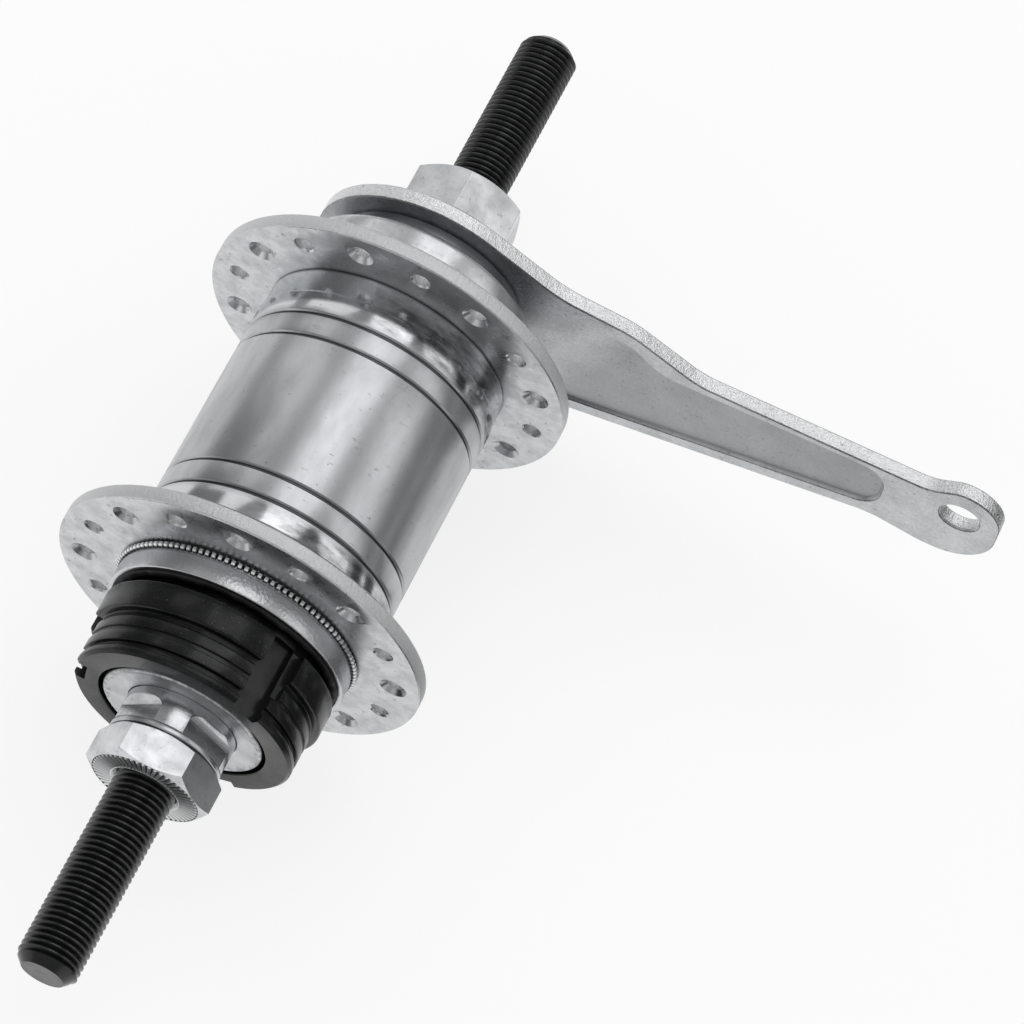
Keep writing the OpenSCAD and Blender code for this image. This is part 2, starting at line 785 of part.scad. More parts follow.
// Corners of the arm: head, stepped top edge, round lug and straight bottom edge.
// The end at the axle is in proportion to the head, the other end to the lug.
arm_drop = 27;
head = arm_head_r;
lug = lug_reach;
head_top_x = head * (1 - sin(90 - arm_drop)) / cos(90 - arm_drop);
channel_end = arm_reach - 1.94 * lug;
arm_corners = [
    [-head, head, head],
    [head_top_x, head, head],
    [1.13 * head, 0.55 * head, 0.75 * head],
    [1.765 * head, 0.492 * head, 0.59 * head],
    [2.4 * head, 0.193 * head, 0.48 * head],
    [arm_reach - 0.92 * lug, 0.6 * lug, 0.9 * lug],
    [arm_reach - 0.2 * lug, 1.05 * lug, 0.62 * lug],
    [arm_reach + lug, 1.05 * lug, lug],
    [arm_reach + lug, -1.83 * lug, 1.35 * lug],
    [arm_reach - 0.7 * lug, -1.83 * lug, 1.87 * lug],
    [arm_reach - 2.03 * lug, -1.6 * lug, 1.87 * lug],
    [0.107 * head, -1.332 * head, 1.016 * head],
    [-head, -0.663 * head, 0.909 * head]
];
channel_corners = [
    [1.15 * head, 0.406 * head, 0.16 * head],
    [1.78 * head, 0.326 * head, 0.3 * head],
    [2.064 * head, 0.09 * head, 0.4 * head],
    [channel_end, 0.406 * lug, 0.625 * lug],
    [channel_end, -1.156 * lug, 0.687 * lug],
    [1.15 * head, -0.973 * head, 0.16 * head]
];

// Pressed steel brake arm with a channel, a square hole and the clip hole
module brake_arm() {
    color("lightgray")
        difference() {
            plate(rounded(arm_corners), arm_face, arm_t);
            plate(rounded(channel_corners), arm_face - 1, 1 + channel_depth);
            block([-square_hole / 2, arm_face - 1, -square_hole / 2],
                  [square_hole / 2, arm_back + 1, square_hole / 2]);
            translate([arm_reach, 0, 0])
                rod(clip_hole_d / 2, arm_face - 1, arm_back + 1);
        }
}

// Thick washer between the arm and its nut
module arm_washer() {
    r = nut_corner_r - edge;
    color("silver")
        turned([[axle_bore_r, arm_back], [r - edge, arm_back], [r, arm_back + edge],
                [r, arm_nut_start - edge], [r - edge, arm_nut_start], [axle_bore_r, arm_nut_start]]);
}

axle();
locknut();
lock_washer();
adjusting_cone();
drive_dust_cap();
driver();
driver_balls();
driver_ball_cage();
drive_side_balls();
drive_side_cage();
drive_side_cup();
mouth_seal();
hub_barrel();
drive_flange();
arm_flange();
clutch_cone();
retarder_spring();
upper_shoe();
lower_shoe();
arm_cone();
arm_side_cup();
arm_side_balls();
arm_side_cage();
arm_dust_cover();
brake_arm();
arm_washer();
arm_nut();
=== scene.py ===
"""Dresses the coaster brake hub: threads, serrations, pressed edges, plated and blackened steel."""

import json
import math

import bmesh
import bpy
from mathutils import Euler, Matrix, Vector


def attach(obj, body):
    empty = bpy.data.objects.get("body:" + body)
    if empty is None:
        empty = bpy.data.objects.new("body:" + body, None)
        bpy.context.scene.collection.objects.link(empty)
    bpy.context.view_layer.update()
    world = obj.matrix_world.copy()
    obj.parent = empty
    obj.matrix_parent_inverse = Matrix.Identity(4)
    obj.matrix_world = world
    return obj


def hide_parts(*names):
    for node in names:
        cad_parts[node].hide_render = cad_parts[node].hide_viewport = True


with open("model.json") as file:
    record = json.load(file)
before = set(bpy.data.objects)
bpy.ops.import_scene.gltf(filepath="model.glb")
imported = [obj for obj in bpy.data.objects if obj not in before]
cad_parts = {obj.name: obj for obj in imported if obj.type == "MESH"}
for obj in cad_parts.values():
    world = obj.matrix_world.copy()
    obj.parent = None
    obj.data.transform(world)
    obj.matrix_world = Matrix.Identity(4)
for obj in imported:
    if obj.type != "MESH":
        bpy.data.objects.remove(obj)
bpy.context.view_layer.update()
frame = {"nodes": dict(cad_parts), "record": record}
BODY_OF = {node: body for body, nodes in frame["record"]["behaviour"]["bodies"].items()
           for node in nodes}

bl_info = {
    "name": "Coaster brake hub",
    "version": (1, 0, 0),
    "blender": (4, 5, 0),
    "location": "3D View > Sidebar > Hub",
    "description": "Builds the pieces and finishes of a coaster brake hub round its packed solids",
    "category": "Add Mesh",
}

MM = 0.001
TAU = 2 * math.pi
TURN_STEPS = 192
WELD = 2e-6  # corners nearer than this many metres become one

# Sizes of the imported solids, in millimetres. Places along Y run from the drive side to the arm
# side, and a name that ends in R is a radius.

SHELL_MID = 1.2
AXLE_ENDS = (-86.3, 85.7)
AXLE_R = 4.75
BORE_R = 4.8
NUT_FACE = 55.0
LOCKNUT_BACK = -49.0
CONE_FACE = -48.1
CONE_SHOULDER = -42.3
ARM_FACE = 39.8
ARM_BACK = 42.3
ARM_NUT_FRONT = 45.0
ARM_REACH = 88.5
HEAD_R = 18.7
BARREL_R = 19.75
FLANGE_R = 29.24
FLANGE_SEAT_R = 19.02
SPOKE_CIRCLE_R = 25.0
CAP_R = 12.8

# The studio, in metres. A lamp is its name, setting, place, width and height. A card is its name,
# place, width, height, shade and the point it faces. Only metal mirrors the cards: two stand beside
# the hub and two lie over the floor, where the photo's polished shell shows dark surroundings.

HUB_POINT = (0.02, -0.01, 0.0)
LAMPS = (
    ("top_softbox", "top_light", (0.06, 0.36, 0.80), 0.52, 0.90),
    ("side_softbox", "side_light", (0.70, 0.25, 0.48), 0.70, 0.45),
    ("left_softbox", "left_light", (-0.56, 0.40, 0.44), 0.50, 0.55),
    ("front_softbox", "front_light", (-0.18, -0.65, 0.45), 0.55, 0.25),
)
CARDS = (
    ("dark_left_card", (-0.15, -0.02, 0.070), 0.19, 0.10, 0.22, (0.0, 0.0, 0.0)),
    ("dark_right_card", (0.50, 0.22, 0.075), 0.80, 0.11, 0.06, (0.0, 0.0, 0.0)),
    ("dark_far_paper", (0.29, 0.15, -0.027), 0.34, 0.40, 0.06, (0.29, 0.15, 1.0)),
    ("dark_near_paper", (0.10, -0.06, -0.027), 0.10, 0.13, 0.04, (0.10, -0.06, 1.0)),
)
FLOOR_Z = -0.0293
FLOOR_SPAN = 8.0
WHITE = (1.0, 1.0, 1.0, 1.0)
CAMERA_PLACE = (0.09314, -0.27058, 0.57031)
CAMERA_DEGREES = (26.1448, -5.8624, 24.7999)
CAMERA_LENS = 151.34
CAMERA_RANGE = (0.05, 20.0)


# Settings that a user would change

def size(name, description, default, low, high):
    """A size in millimetres."""
    return bpy.props.FloatProperty(name=name, description=description, default=default,
                                   min=low, max=high, precision=3)


def count(name, description, default, low, high):
    """A whole number of repeats."""
    return bpy.props.IntProperty(name=name, description=description, default=default,
                                 min=low, max=high)


def level(name, description, default):
    """A power or a strength."""
    return bpy.props.FloatProperty(name=name, description=description, default=default,
                                   min=0.0, max=20.0, precision=2)


def colour(name, description, default):
    """An sRGB colour written as six hex digits."""
    return bpy.props.StringProperty(name=name, description=description, default=default, maxlen=6)


class HubSizes(bpy.types.PropertyGroup):
    """Sizes of the surface detail, in millimetres."""

    thread_pitch: size("Axle thread pitch", "Distance between axle threads, 26 to the inch",
                       0.977, 0.5, 2.0)
    thread_depth: size("Axle thread depth", "Depth of the axle thread", 0.5, 0.1, 0.8)
    edge: size("Driver edge rounding", "Rounding of the driver's lands", 0.18, 0.05, 0.4)
    lock_teeth: count("Lock ring teeth", "Serrations round each flange's lock ring", 116, 40, 200)
    nut_teeth: count("Locknut teeth", "Radial serrations on the locknut's face", 54, 12, 80)
    channel_slope: size("Channel slope", "How far the walls of the arm's channel lean", 0.5, 0.0, 1.2)
    arm_edge: size("Arm edge", "Rounding of the brake arm's edges", 0.28, 0.1, 0.45)


class HubFinishes(bpy.types.PropertyGroup):
    """Base colours of the finishes, in sRGB hex."""

    zinc: colour("Bright zinc", "Plated cones, caps and washers", "CDCFD1")
    shell: colour("Polished zinc", "Plated and polished barrel", "B9BBBD")
    flange: colour("Flange zinc", "Plated stamped flanges", "D2D4D6")
    arm: colour("Arm zinc", "Plated pressed brake arm", "D3D5D7")
    oxide: colour("Black oxide", "Axle thread", "0E0F10")
    driver: colour("Blackened steel", "Sprocket driver", "101113")
    bronze: colour("Sintered bronze", "Brake shoes", "9A7444")
    hard: colour("Hardened steel", "Cups, clutch and arm cone", "8E9194")


class HubStudio(bpy.types.PropertyGroup):
    """Floor and lamps."""

    floor: colour("Floor", "Colour of the floor", "F7F7F7")
    top_light: level("Top softbox", "Power of the softbox above and behind the hub", 2.0)
    side_light: level("Side softbox", "Power of the softbox on the arm's side", 0.9)
    left_light: level("Left softbox", "Power of the softbox across from the arm", 0.55)
    front_light: level("Front softbox", "Power of the small softbox before the hub", 0.35)
    sky: level("Sky", "Strength of the even light all round", 0.62)
    sky_in_metal: level("Sky in metal", "Strength of the sky where metal mirrors it", 0.36)
    floor_in_metal: level("Floor in metal", "How much metal sees the floor as a white page", 0.75)


# Materials

def linear(code):
    """The linear colour of six sRGB hex digits."""
    parts = [int(code[i:i + 2], 16) / 255 for i in (0, 2, 4)]
    return [c / 12.92 if c <= 0.04045 else ((c + 0.055) / 1.055) ** 2.4 for c in parts] + [1.0]


def darker(shade, share):
    """A linear colour at a share of its brightness."""
    return [c * share for c in shade[:3]] + [1.0]


class Nodes:
    """Builds the node tree of one material or world."""

    def __init__(self, owner):
        owner.use_nodes = True
        self.owner = owner
        self.tree = owner.node_tree
        self.tree.nodes.clear()
        self.place = self.add("ShaderNodeTexCoord").outputs["Object"]

    def add(self, kind, inputs=None, **settings):
        """Adds one node; an input is a value, or a socket to link."""
        item = self.tree.nodes.new(kind)
        for key, value in settings.items():
            setattr(item, key, value)
        for key, value in (inputs or {}).items():
            socket = item.inputs[key]
            if isinstance(value, bpy.types.NodeSocket):
                self.tree.links.new(value, socket)
            else:
                socket.default_value = value
        return item

    def surfaced(self, kind, inputs, output="ShaderNodeOutputMaterial"):
        """Puts a shader of that kind on the output, and returns the material or world."""
        self.add(output, {"Surface": self.add(kind, inputs).outputs[0]})
        return self.owner

    def raw_noise(self, vector, detail=3.0, rough=0.5):
        """Soft noise between 0 and 1, with blotches one unit of the vector long."""
        inputs = {"Vector": vector, "Scale": 1.0, "Detail": detail, "Roughness": rough}
        return self.add("ShaderNodeTexNoise", inputs).outputs["Fac"]

    def noise(self, span, detail=3.0, rough=0.5):
        """Soft noise whose blotches are span millimetres long: one number, or one for each axis."""
        spans = span if isinstance(span, tuple) else (span, span, span)
        inputs = {"Vector": self.place, "Scale": [1 / (s * MM) for s in spans]}
        return self.raw_noise(self.add("ShaderNodeMapping", inputs).outputs[0], detail, rough)

    def ranged(self, value, low, high, to_low=0.0, to_high=1.0):
        """A value mapped from one range to another and clamped."""
        inputs = {"Value": value, "From Min": low, "From Max": high, "To Min": to_low,
                  "To Max": to_high}
        return self.add("ShaderNodeMapRange", inputs).outputs[0]

    def maths(self, operation, a, b=0.0):
        """One maths node."""
        return self.add("ShaderNodeMath", {0: a, 1: b}, operation=operation).outputs[0]

    def product(self, a, b):
        """a times b."""
        return self.maths("MULTIPLY", a, b)

    def tinted(self, fac, a, b):
        """Colour a where fac is 0 and colour b where it is 1."""
        return self.add("ShaderNodeMix", {0: fac, 6: a, 7: b}, data_type="RGBA").outputs[2]

    def bumped(self, height, depth, normal=None):
        """A bump of a real depth in millimetres, on top of another where one is given."""
        inputs = {"Height": height, "Distance": depth * MM, "Strength": 1.0}
        if normal is not None:
            inputs["Normal"] = normal
        return self.add("ShaderNodeBump", inputs).outputs[0]

    def part_of(self, vector, axis):
        """One part of a vector: 0 is X, 1 is Y and 2 is Z."""
        return self.add("ShaderNodeSeparateXYZ", {0: vector}).outputs[axis]

    def millimetres(self, axis):
        """One coordinate in millimetres."""
        return self.maths("DIVIDE", self.part_of(self.place, axis), MM)

    def off_axis(self):
        """Distance from the axle's axis, in millimetres."""
        x, z = self.millimetres(0), self.millimetres(2)
        return self.maths("SQRT", self.maths("ADD", self.product(x, x), self.product(z, z)))

    def along_from_middle(self):
        """Distance along the axle from the middle of the shell, in millimetres."""
        return self.maths("ABSOLUTE", self.maths("SUBTRACT", self.millimetres(1), SHELL_MID))

    def facing_along(self):
        """1 on faces across the axle, 0 on sides that run along it."""
        side = self.add("ShaderNodeTexCoord").outputs["Normal"]
        return self.maths("ABSOLUTE", self.part_of(side, 1))

    def turned_lines(self):
        """Tool marks of a lathe: streaks that follow each ring round the axle."""
        marks = 6.0
        ring = self.add("ShaderNodeCombineXYZ", {0: self.product(self.off_axis(), marks),
                                                 1: self.product(self.millimetres(1), marks)})
        return self.raw_noise(ring.outputs[0], detail=2.0)


def fresh(name):
    """The nodes of a new material."""
    return Nodes(bpy.data.materials.new(name))


def turned_zinc(name, tint, shine=0.24, edge_r=None):
    """Bright zinc on turned steel: lathe marks, dull blooms, and specks that crowd at edge_r."""
    n = fresh(name)
    bloom = n.noise(3.5, detail=5.0, rough=0.6)
    grain = n.noise(0.25)
    stain = n.noise(1.1, detail=6.0, rough=0.7)
    if edge_r:
        crowd = n.ranged(n.off_axis(), edge_r - 1.6, edge_r, 0.0, 0.17)
        stain = n.maths("ADD", stain, crowd)
    stain = n.ranged(stain, 0.58, 0.72, 0.0, 0.65)
    base = linear(tint)
    body = n.tinted(n.ranged(bloom, 0.35, 0.7), base, darker(base, 0.74))
    return n.surfaced("ShaderNodeBsdfPrincipled", {
        "Base Color": n.tinted(stain, body, darker(base, 0.28)),
        "Metallic": 1.0,
        "Roughness": n.ranged(bloom, 0.3, 0.75, shine, shine + 0.16),
        "Normal": n.bumped(grain, 0.008, n.bumped(n.turned_lines(), 0.006)),
    })


def polished_zinc(name, tint, barrel_r):
    """Polished, then plated steel: satin on the barrel, a mirror at the necks, with dark specks,
    painted shade in the grooves and where the necks meet the flanges, and a painted dark reflection
    on the necks.
    """
    n = fresh(name)
    wave = n.noise(9.0, detail=2.0)
    pits = n.noise(0.5, detail=4.0)
    cloud = n.noise((5.0, 14.0, 5.0), detail=4.0, rough=0.6)
    scratch = n.ranged(n.noise((2.2, 0.25, 2.2), detail=1.0), 0.74, 0.78)
    speck = n.ranged(n.noise(0.7, detail=5.0), 0.67, 0.75, 0.0, 0.5)
    middle = n.along_from_middle()
    neck = n.product(n.ranged(middle, 15.9, 17.0), n.ranged(middle, 24.5, 26.0, 1.0, 0.0))
    collar = n.ranged(middle, 25.5, 26.5)
    # Painted shade: the bottoms of the barrel's grooves are darkened towards near black.
    painted_groove_shade = n.product(n.ranged(middle, 17.0, 17.5, 1.0, 0.0),
                      n.ranged(n.off_axis(), barrel_r - 0.35, barrel_r - 0.2, 0.95, 0.0))
    base = linear(tint)
    body = n.tinted(n.ranged(cloud, 0.4, 0.7), base, darker(base, 0.80))
    body = n.tinted(n.maths("MAXIMUM", neck, collar), body, linear("D0D2D4"))
    # Painted reflection: mottled dark patches on the necks, stronger towards +X, stand in for the
    # dark surroundings the polished necks mirror.
    painted_neck_reflection_and_shade = n.noise((7.0, 2.6, 7.0), detail=5.0, rough=0.6)
    painted_neck_reflection_and_shade = n.product(n.ranged(painted_neck_reflection_and_shade, 0.36, 0.62, 0.0, 0.82),
                     n.ranged(n.millimetres(0), -6.0, 4.0, 0.1, 1.0))
    # Painted shade: a dark line where each neck meets its flange.
    corner = n.ranged(middle, 23.2, 23.7, 0.0, 0.9)
    painted_neck_reflection_and_shade = n.product(n.maths("MAXIMUM", painted_neck_reflection_and_shade, corner), neck)
    # Dark specks, together with the painted shade and painted reflection above, pull the colour
    # towards near black.
    specks_and_painted_shade = n.maths("MAXIMUM", n.maths("MAXIMUM", painted_groove_shade, painted_neck_reflection_and_shade), speck)
    satin = n.ranged(cloud, 0.3, 0.75, 0.27, 0.37)
    normal = n.bumped(wave, 0.07)
    normal = n.bumped(n.turned_lines(), 0.003, normal)
    normal = n.bumped(scratch, 0.02, normal)
    normal = n.bumped(n.product(pits, collar), 0.07, normal)
    return n.surfaced("ShaderNodeBsdfPrincipled", {
        "Base Color": n.tinted(specks_and_painted_shade, body, darker(base, 0.12)),
        "Metallic": 1.0,
        "Roughness": n.product(satin, n.ranged(neck, 0.0, 1.0, 1.0, 0.45)),
        "Normal": n.bumped(pits, 0.003, normal),
    })


def stamped_zinc(name, tint):
    """Zinc on stamped sheet: satin faces with dark blooms, and bright, grainy sheared sides."""
    n = fresh(name)
    cloud = n.noise(2.6, detail=5.0, rough=0.62)
    wave = n.noise(6.0, detail=1.0)
    grain = n.noise(0.22)
    shear = n.noise((0.4, 1.0, 0.4), detail=4.0, rough=0.7)
    speck = n.ranged(n.noise(0.9, detail=5.0), 0.64, 0.72, 0.0, 0.6)
    sheared = n.ranged(n.facing_along(), 0.2, 0.6, 1.0, 0.0)
    base = linear(tint)
    face = n.tinted(n.ranged(cloud, 0.38, 0.72), base, darker(base, 0.74))
    face = n.tinted(speck, face, darker(base, 0.25))
    satin = n.ranged(cloud, 0.3, 0.75, 0.22, 0.40)
    normal = n.bumped(grain, 0.006, n.bumped(wave, 0.05))
    return n.surfaced("ShaderNodeBsdfPrincipled", {
        "Base Color": n.tinted(sheared, face, linear("DADBDC")),
        "Metallic": 1.0,
        "Roughness": n.maths("MAXIMUM", satin, n.product(sheared, 0.52)),
        "Normal": n.bumped(n.product(shear, sheared), 0.2, normal),
    })


def pressed_zinc(name, tint, floor_y):
    """Zinc on pressed sheet: grainy, rougher in the channel with painted shade on its floor and a
    painted dark line along its walls, bright and pitted where it was cut.
    """
    n = fresh(name)
    grain = n.noise(0.42, detail=4.0, rough=0.65)
    coarse = n.noise((0.45, 0.9, 0.45), rough=0.7)
    patch = n.noise(6.0, detail=5.0, rough=0.6)
    speck = n.ranged(n.noise(0.8, detail=5.0), 0.64, 0.7, 0.0, 0.5)
    salt = n.ranged(n.noise(0.5, rough=0.7), 0.35, 0.65, 0.0, 0.34)
    pit = n.ranged(n.noise((1.0, 0.7, 1.0), rough=0.7), 0.68, 0.72, 0.0, 0.85)
    facing = n.facing_along()
    sheared = n.ranged(facing, 0.2, 0.6, 1.0, 0.0)
    depth = n.maths("SUBTRACT", n.millimetres(1), floor_y)
    # Painted shade: this mask darkens the channel's floor, and it also makes the floor rougher.
    floor = n.product(n.ranged(depth, -0.45, -0.05), n.ranged(depth, 0.1, 0.3, 1.0, 0.0))
    base = linear(tint)
    face = n.tinted(n.ranged(patch, 0.35, 0.7), base, darker(base, 0.84))
    face = n.tinted(floor, face, darker(base, 0.66))
    face = n.tinted(salt, face, darker(base, 0.45))
    face = n.tinted(speck, face, darker(base, 0.30))
    cut_side = n.tinted(pit, linear("DEDFE0"), linear("2E2F31"))
    # Painted shade: a dark line on the channel's sloping walls near the face stands in for the shadow
    # at the channel's edge.
    rim = n.product(n.ranged(facing, 0.4, 0.55, 0.0, 0.85), n.ranged(facing, 0.92, 0.985, 1.0, 0.0))
    rim = n.product(rim, n.ranged(depth, -0.50, -0.40, 1.0, 0.0))
    rim = n.product(rim, n.ranged(coarse, 0.35, 0.65, 0.4, 1.0))
    body = n.tinted(sheared, face, cut_side)
    change = n.maths("SUBTRACT", n.product(floor, 0.08), n.product(sheared, 0.09))
    satin = n.maths("ADD", n.ranged(patch, 0.3, 0.75, 0.30, 0.44), change)
    side_bump = n.product(coarse, sheared)
    return n.surfaced("ShaderNodeBsdfPrincipled", {
        "Base Color": n.tinted(rim, body, darker(base, 0.16)),
        "Metallic": 1.0,
        "Roughness": satin,
        "Normal": n.bumped(side_bump, 0.23, n.bumped(grain, 0.06)),
    })


def toothed_zinc(name, tint, dark, low, high, bump, mask_of):
    """Zinc on small teeth: bright tops, and painted shade in the gaps, at a share dark of the colour,
    where mask_of nears 0.
    """
    n = fresh(name)
    grain = n.noise(0.25)
    base = linear(tint)
    return n.surfaced("ShaderNodeBsdfPrincipled", {
        # Painted shade: the gaps between the teeth are darkened.
        "Base Color": n.tinted(mask_of(n), darker(base, dark), base),
        "Metallic": 1.0,
        "Roughness": n.ranged(grain, 0.3, 0.75, low, high),
        "Normal": n.bumped(grain, bump),
    })


def ring_tops(n):
    """1 on the tops of the lock rings' teeth, 0 in the gaps that get painted shade."""
    return n.ranged(n.off_axis(), 19.0, 19.2)


def face_crests(n):
    """1 on the crests of the locknut's serrations, 0 in the valleys that get painted shade."""
    return n.ranged(n.millimetres(1), 0.12 - NUT_FACE, 0.28 - NUT_FACE, 1.0, 0.0)


def black_oxide(name, tint, crest_r):
    """Black oxide on a cut thread: oily black flanks and crests rubbed to grey."""
    n = fresh(name)
    patch = n.noise(2.5, detail=4.0)
    crest = n.ranged(n.off_axis(), crest_r - 0.14, crest_r)
    worn = n.product(crest, n.ranged(patch, 0.4, 0.75, 0.05, 0.55))
    return n.surfaced("ShaderNodeBsdfPrincipled", {
        "Base Color": n.tinted(worn, linear(tint), linear("4A4B4E")),
        "Metallic": 0.35,
        "Roughness": n.ranged(patch, 0.3, 0.75, 0.26, 0.40),
        "Normal": n.bumped(n.noise(0.2), 0.008),
        "Specular IOR Level": 0.4,
        "Coat Weight": 0.4,
        "Coat Roughness": 0.16,
    })


def blackened_steel(name, tint):
    """Oiled black finish on turned steel: satin black with fine lathe rings and rubbed flecks."""
    n = fresh(name)
    patch = n.noise(4.0, detail=5.0)
    grain = n.noise(0.3)
    worn = n.ranged(n.off_axis(), 17.2, 17.5, -0.06, 0.0)
    flecks = n.maths("ADD", n.noise(0.35, detail=2.0), worn)
    flecks = n.ranged(flecks, 0.66, 0.78, 0.0, 0.3)
    return n.surfaced("ShaderNodeBsdfPrincipled", {
        "Base Color": n.tinted(flecks, linear(tint), linear("8A8B8E")),
        "Metallic": 0.4,
        "Roughness": n.ranged(patch, 0.3, 0.75, 0.26, 0.42),
        "Normal": n.bumped(grain, 0.035, n.bumped(n.turned_lines(), 0.010)),
        "Specular IOR Level": 0.3,
        "Coat Weight": n.ranged(patch, 0.35, 0.65, 0.05, 0.4),
        "Coat Roughness": 0.14,
    })


def plain_finish(name, tint, metallic, low, high, grain_span, depth):
    """A plain finish with its own grain: ground steel, bronze, wire or rubber."""
    n = fresh(name)
    patch = n.noise(4.0, detail=4.0)
    base = linear(tint)
    return n.surfaced("ShaderNodeBsdfPrincipled", {
        "Base Color": n.tinted(n.ranged(patch, 0.35, 0.7), base, darker(base, 0.78)),
        "Metallic": metallic,
        "Roughness": n.ranged(patch, 0.3, 0.75, low, high),
        "Normal": n.bumped(n.noise(grain_span, detail=4.0), depth),
    })


FINISHES = {}


def finish_of(name, make, *args):
    """The material of that name, made once."""
    if name not in FINISHES:
        FINISHES[name] = make(name, *args)
    return FINISHES[name]


# Modelling helpers

def loose(profile, closed=True):
    """A bmesh of one wire through (radius, place along Y, rounding) points in millimetres."""
    bm = bmesh.new()
    verts = [bm.verts.new((p[0] * MM, p[1] * MM, 0.0)) for p in profile]
    for pair in zip(verts, verts[1:] + (verts[:1] if closed else [])):
        bm.edges.new(pair)
    for vert, point in zip(verts, profile):
        if len(point) > 2 and point[2] > 0:
            bmesh.ops.bevel(bm, geom=[vert], offset=point[2] * MM, offset_type="OFFSET",
                            segments=3, profile=0.5, affect="VERTICES", clamp_overlap=False,
                            material=-1)
    return bm


def spun(bm, steps=TURN_STEPS, rise=0.0):
    """Spins a bmesh's wires one turn round the Y axis, with a rise in millimetres."""
    bmesh.ops.spin(bm, geom=bm.verts[:] + bm.edges[:], cent=(0, 0, 0), axis=(0, 1, 0),
                   dvec=(0, rise * MM / steps, 0), angle=TAU, steps=steps, use_merge=rise == 0.0)
    bmesh.ops.remove_doubles(bm, verts=bm.verts, dist=WELD)
    bmesh.ops.recalc_face_normals(bm, faces=bm.faces)
    return bm


def turned(profile, steps=TURN_STEPS, closed=True):
    """A turned solid about the Y axis."""
    return spun(loose(profile, closed), steps)


def drill(radius, low, high, sink_low, sink_high, steps):
    """A tool that bores from low to high along Y and countersinks each end."""
    return turned([(0, low - 1), (radius + sink_low + 1, low - 1), (radius, low + sink_low),
                   (radius, high - sink_high), (radius + sink_high + 1, high + 1),
                   (0, high + 1)], steps=steps, closed=False)


def slab(corners, low, high):
    """A plate in the X-Z plane from (x, z, rounding) corners, between two places along Y."""
    bm = bmesh.new()
    verts = [bm.verts.new((x * MM, low * MM, z * MM)) for x, z, _ in corners]
    bm.faces.new(verts)
    for i, vert in enumerate(verts):
        here = Vector(corners[i][:2])
        before = (Vector(corners[i - 1][:2]) - here).normalized()
        after = (Vector(corners[(i + 1) % len(corners)][:2]) - here).normalized()
        reach = corners[i][2] / math.tan(before.angle(after) / 2)
        bmesh.ops.bevel(bm, geom=[vert], offset=reach * MM * 0.999, offset_type="OFFSET",
                        segments=12, profile=0.5, affect="VERTICES", clamp_overlap=False,
                        material=-1)
    bmesh.ops.remove_doubles(bm, verts=bm.verts, dist=5e-6)
    grown = bmesh.ops.extrude_face_region(bm, geom=bm.faces[:])
    moved = [v for v in grown["geom"] if isinstance(v, bmesh.types.BMVert)]
    bmesh.ops.translate(bm, vec=(0, (high - low) * MM, 0), verts=moved)
    bmesh.ops.recalc_face_normals(bm, faces=bm.faces)
    return bm


def brick(low, high):
    """A box between two corners in millimetres."""
    bm = bmesh.new()
    middle = (Vector(low) + Vector(high)) / 2 * MM
    span = (Vector(high) - Vector(low)) * MM
    bmesh.ops.create_cube(bm, size=1.0,
                          matrix=Matrix.Translation(middle) @ Matrix.Diagonal((*span, 1.0)))
    return bm


def hexagonal_bar(radius, low, high, phase):
    """A hexagonal bar along Y, with its first corner at the angle phase."""
    bm = bmesh.new()
    place = Matrix.Rotation(-math.radians(phase + 90), 4, "Y") @ Matrix.Translation(
        (0, (low + high) / 2 * MM, 0)) @ Matrix.Rotation(-TAU / 4, 4, "X")
    bmesh.ops.create_cone(bm, cap_ends=True, segments=6, radius1=radius * MM,
                          radius2=radius * MM, depth=(high - low) * MM, matrix=place)
    return bm


def at_angle(bm, degrees):
    """Turns a bmesh about the axle, from +X towards +Z."""
    bmesh.ops.rotate(bm, cent=(0, 0, 0), matrix=Matrix.Rotation(-math.radians(degrees), 3, "Y"),
                     verts=bm.verts)
    return bm


def angle_of(vert):
    """A corner's angle about the axle, from +X towards +Z."""
    return math.atan2(vert.co.z, vert.co.x)


def widened(bm, factor, verts):
    """Moves corners off the axle, or towards it, by a factor."""
    bmesh.ops.scale(bm, vec=(factor, 1, factor), verts=verts)


def moved_by(bm, x, y, z):
    """Moves a bmesh by millimetres."""
    bmesh.ops.translate(bm, vec=(x * MM, y * MM, z * MM), verts=bm.verts)
    return bm


def gathered(parts):
    """One bmesh of several."""
    whole = bmesh.new()
    for part in parts:
        mesh = bpy.data.meshes.new("part")
        part.to_mesh(mesh)
        part.free()
        whole.from_mesh(mesh)
        bpy.data.meshes.remove(mesh)
    return whole


def around(make, repeats, phase=0.0):
    """One bmesh of a shape repeated evenly about the axle."""
    return gathered([at_angle(make(), phase + 360.0 * i / repeats) for i in range(repeats)])


def cut(bm, tool, operation="DIFFERENCE"):
    """The bmesh after a boolean with a tool."""
    things = []
    for part in (bm, tool):
        mesh = bpy.data.meshes.new("part")
        part.to_mesh(mesh)
        part.free()
        thing = bpy.data.objects.new("part", mesh)
        bpy.context.scene.collection.objects.link(thing)
        things.append(thing)
    change = things[0].modifiers.new("cut", "BOOLEAN")
    change.operation = operation
    change.solver = "MANIFOLD"
    change.object = things[1]
    bpy.context.view_layer.update()
    result = bmesh.new()
    solid = things[0].evaluated_get(bpy.context.evaluated_depsgraph_get())
    result.from_mesh(solid.to_mesh())
    solid.to_mesh_clear()
    for thing in things:
        mesh = thing.data
        bpy.data.objects.remove(thing)
        bpy.data.meshes.remove(mesh)
    bmesh.ops.remove_doubles(result, verts=result.verts, dist=WELD)
    if not result.faces:
        raise RuntimeError("a cut left nothing")
    return result


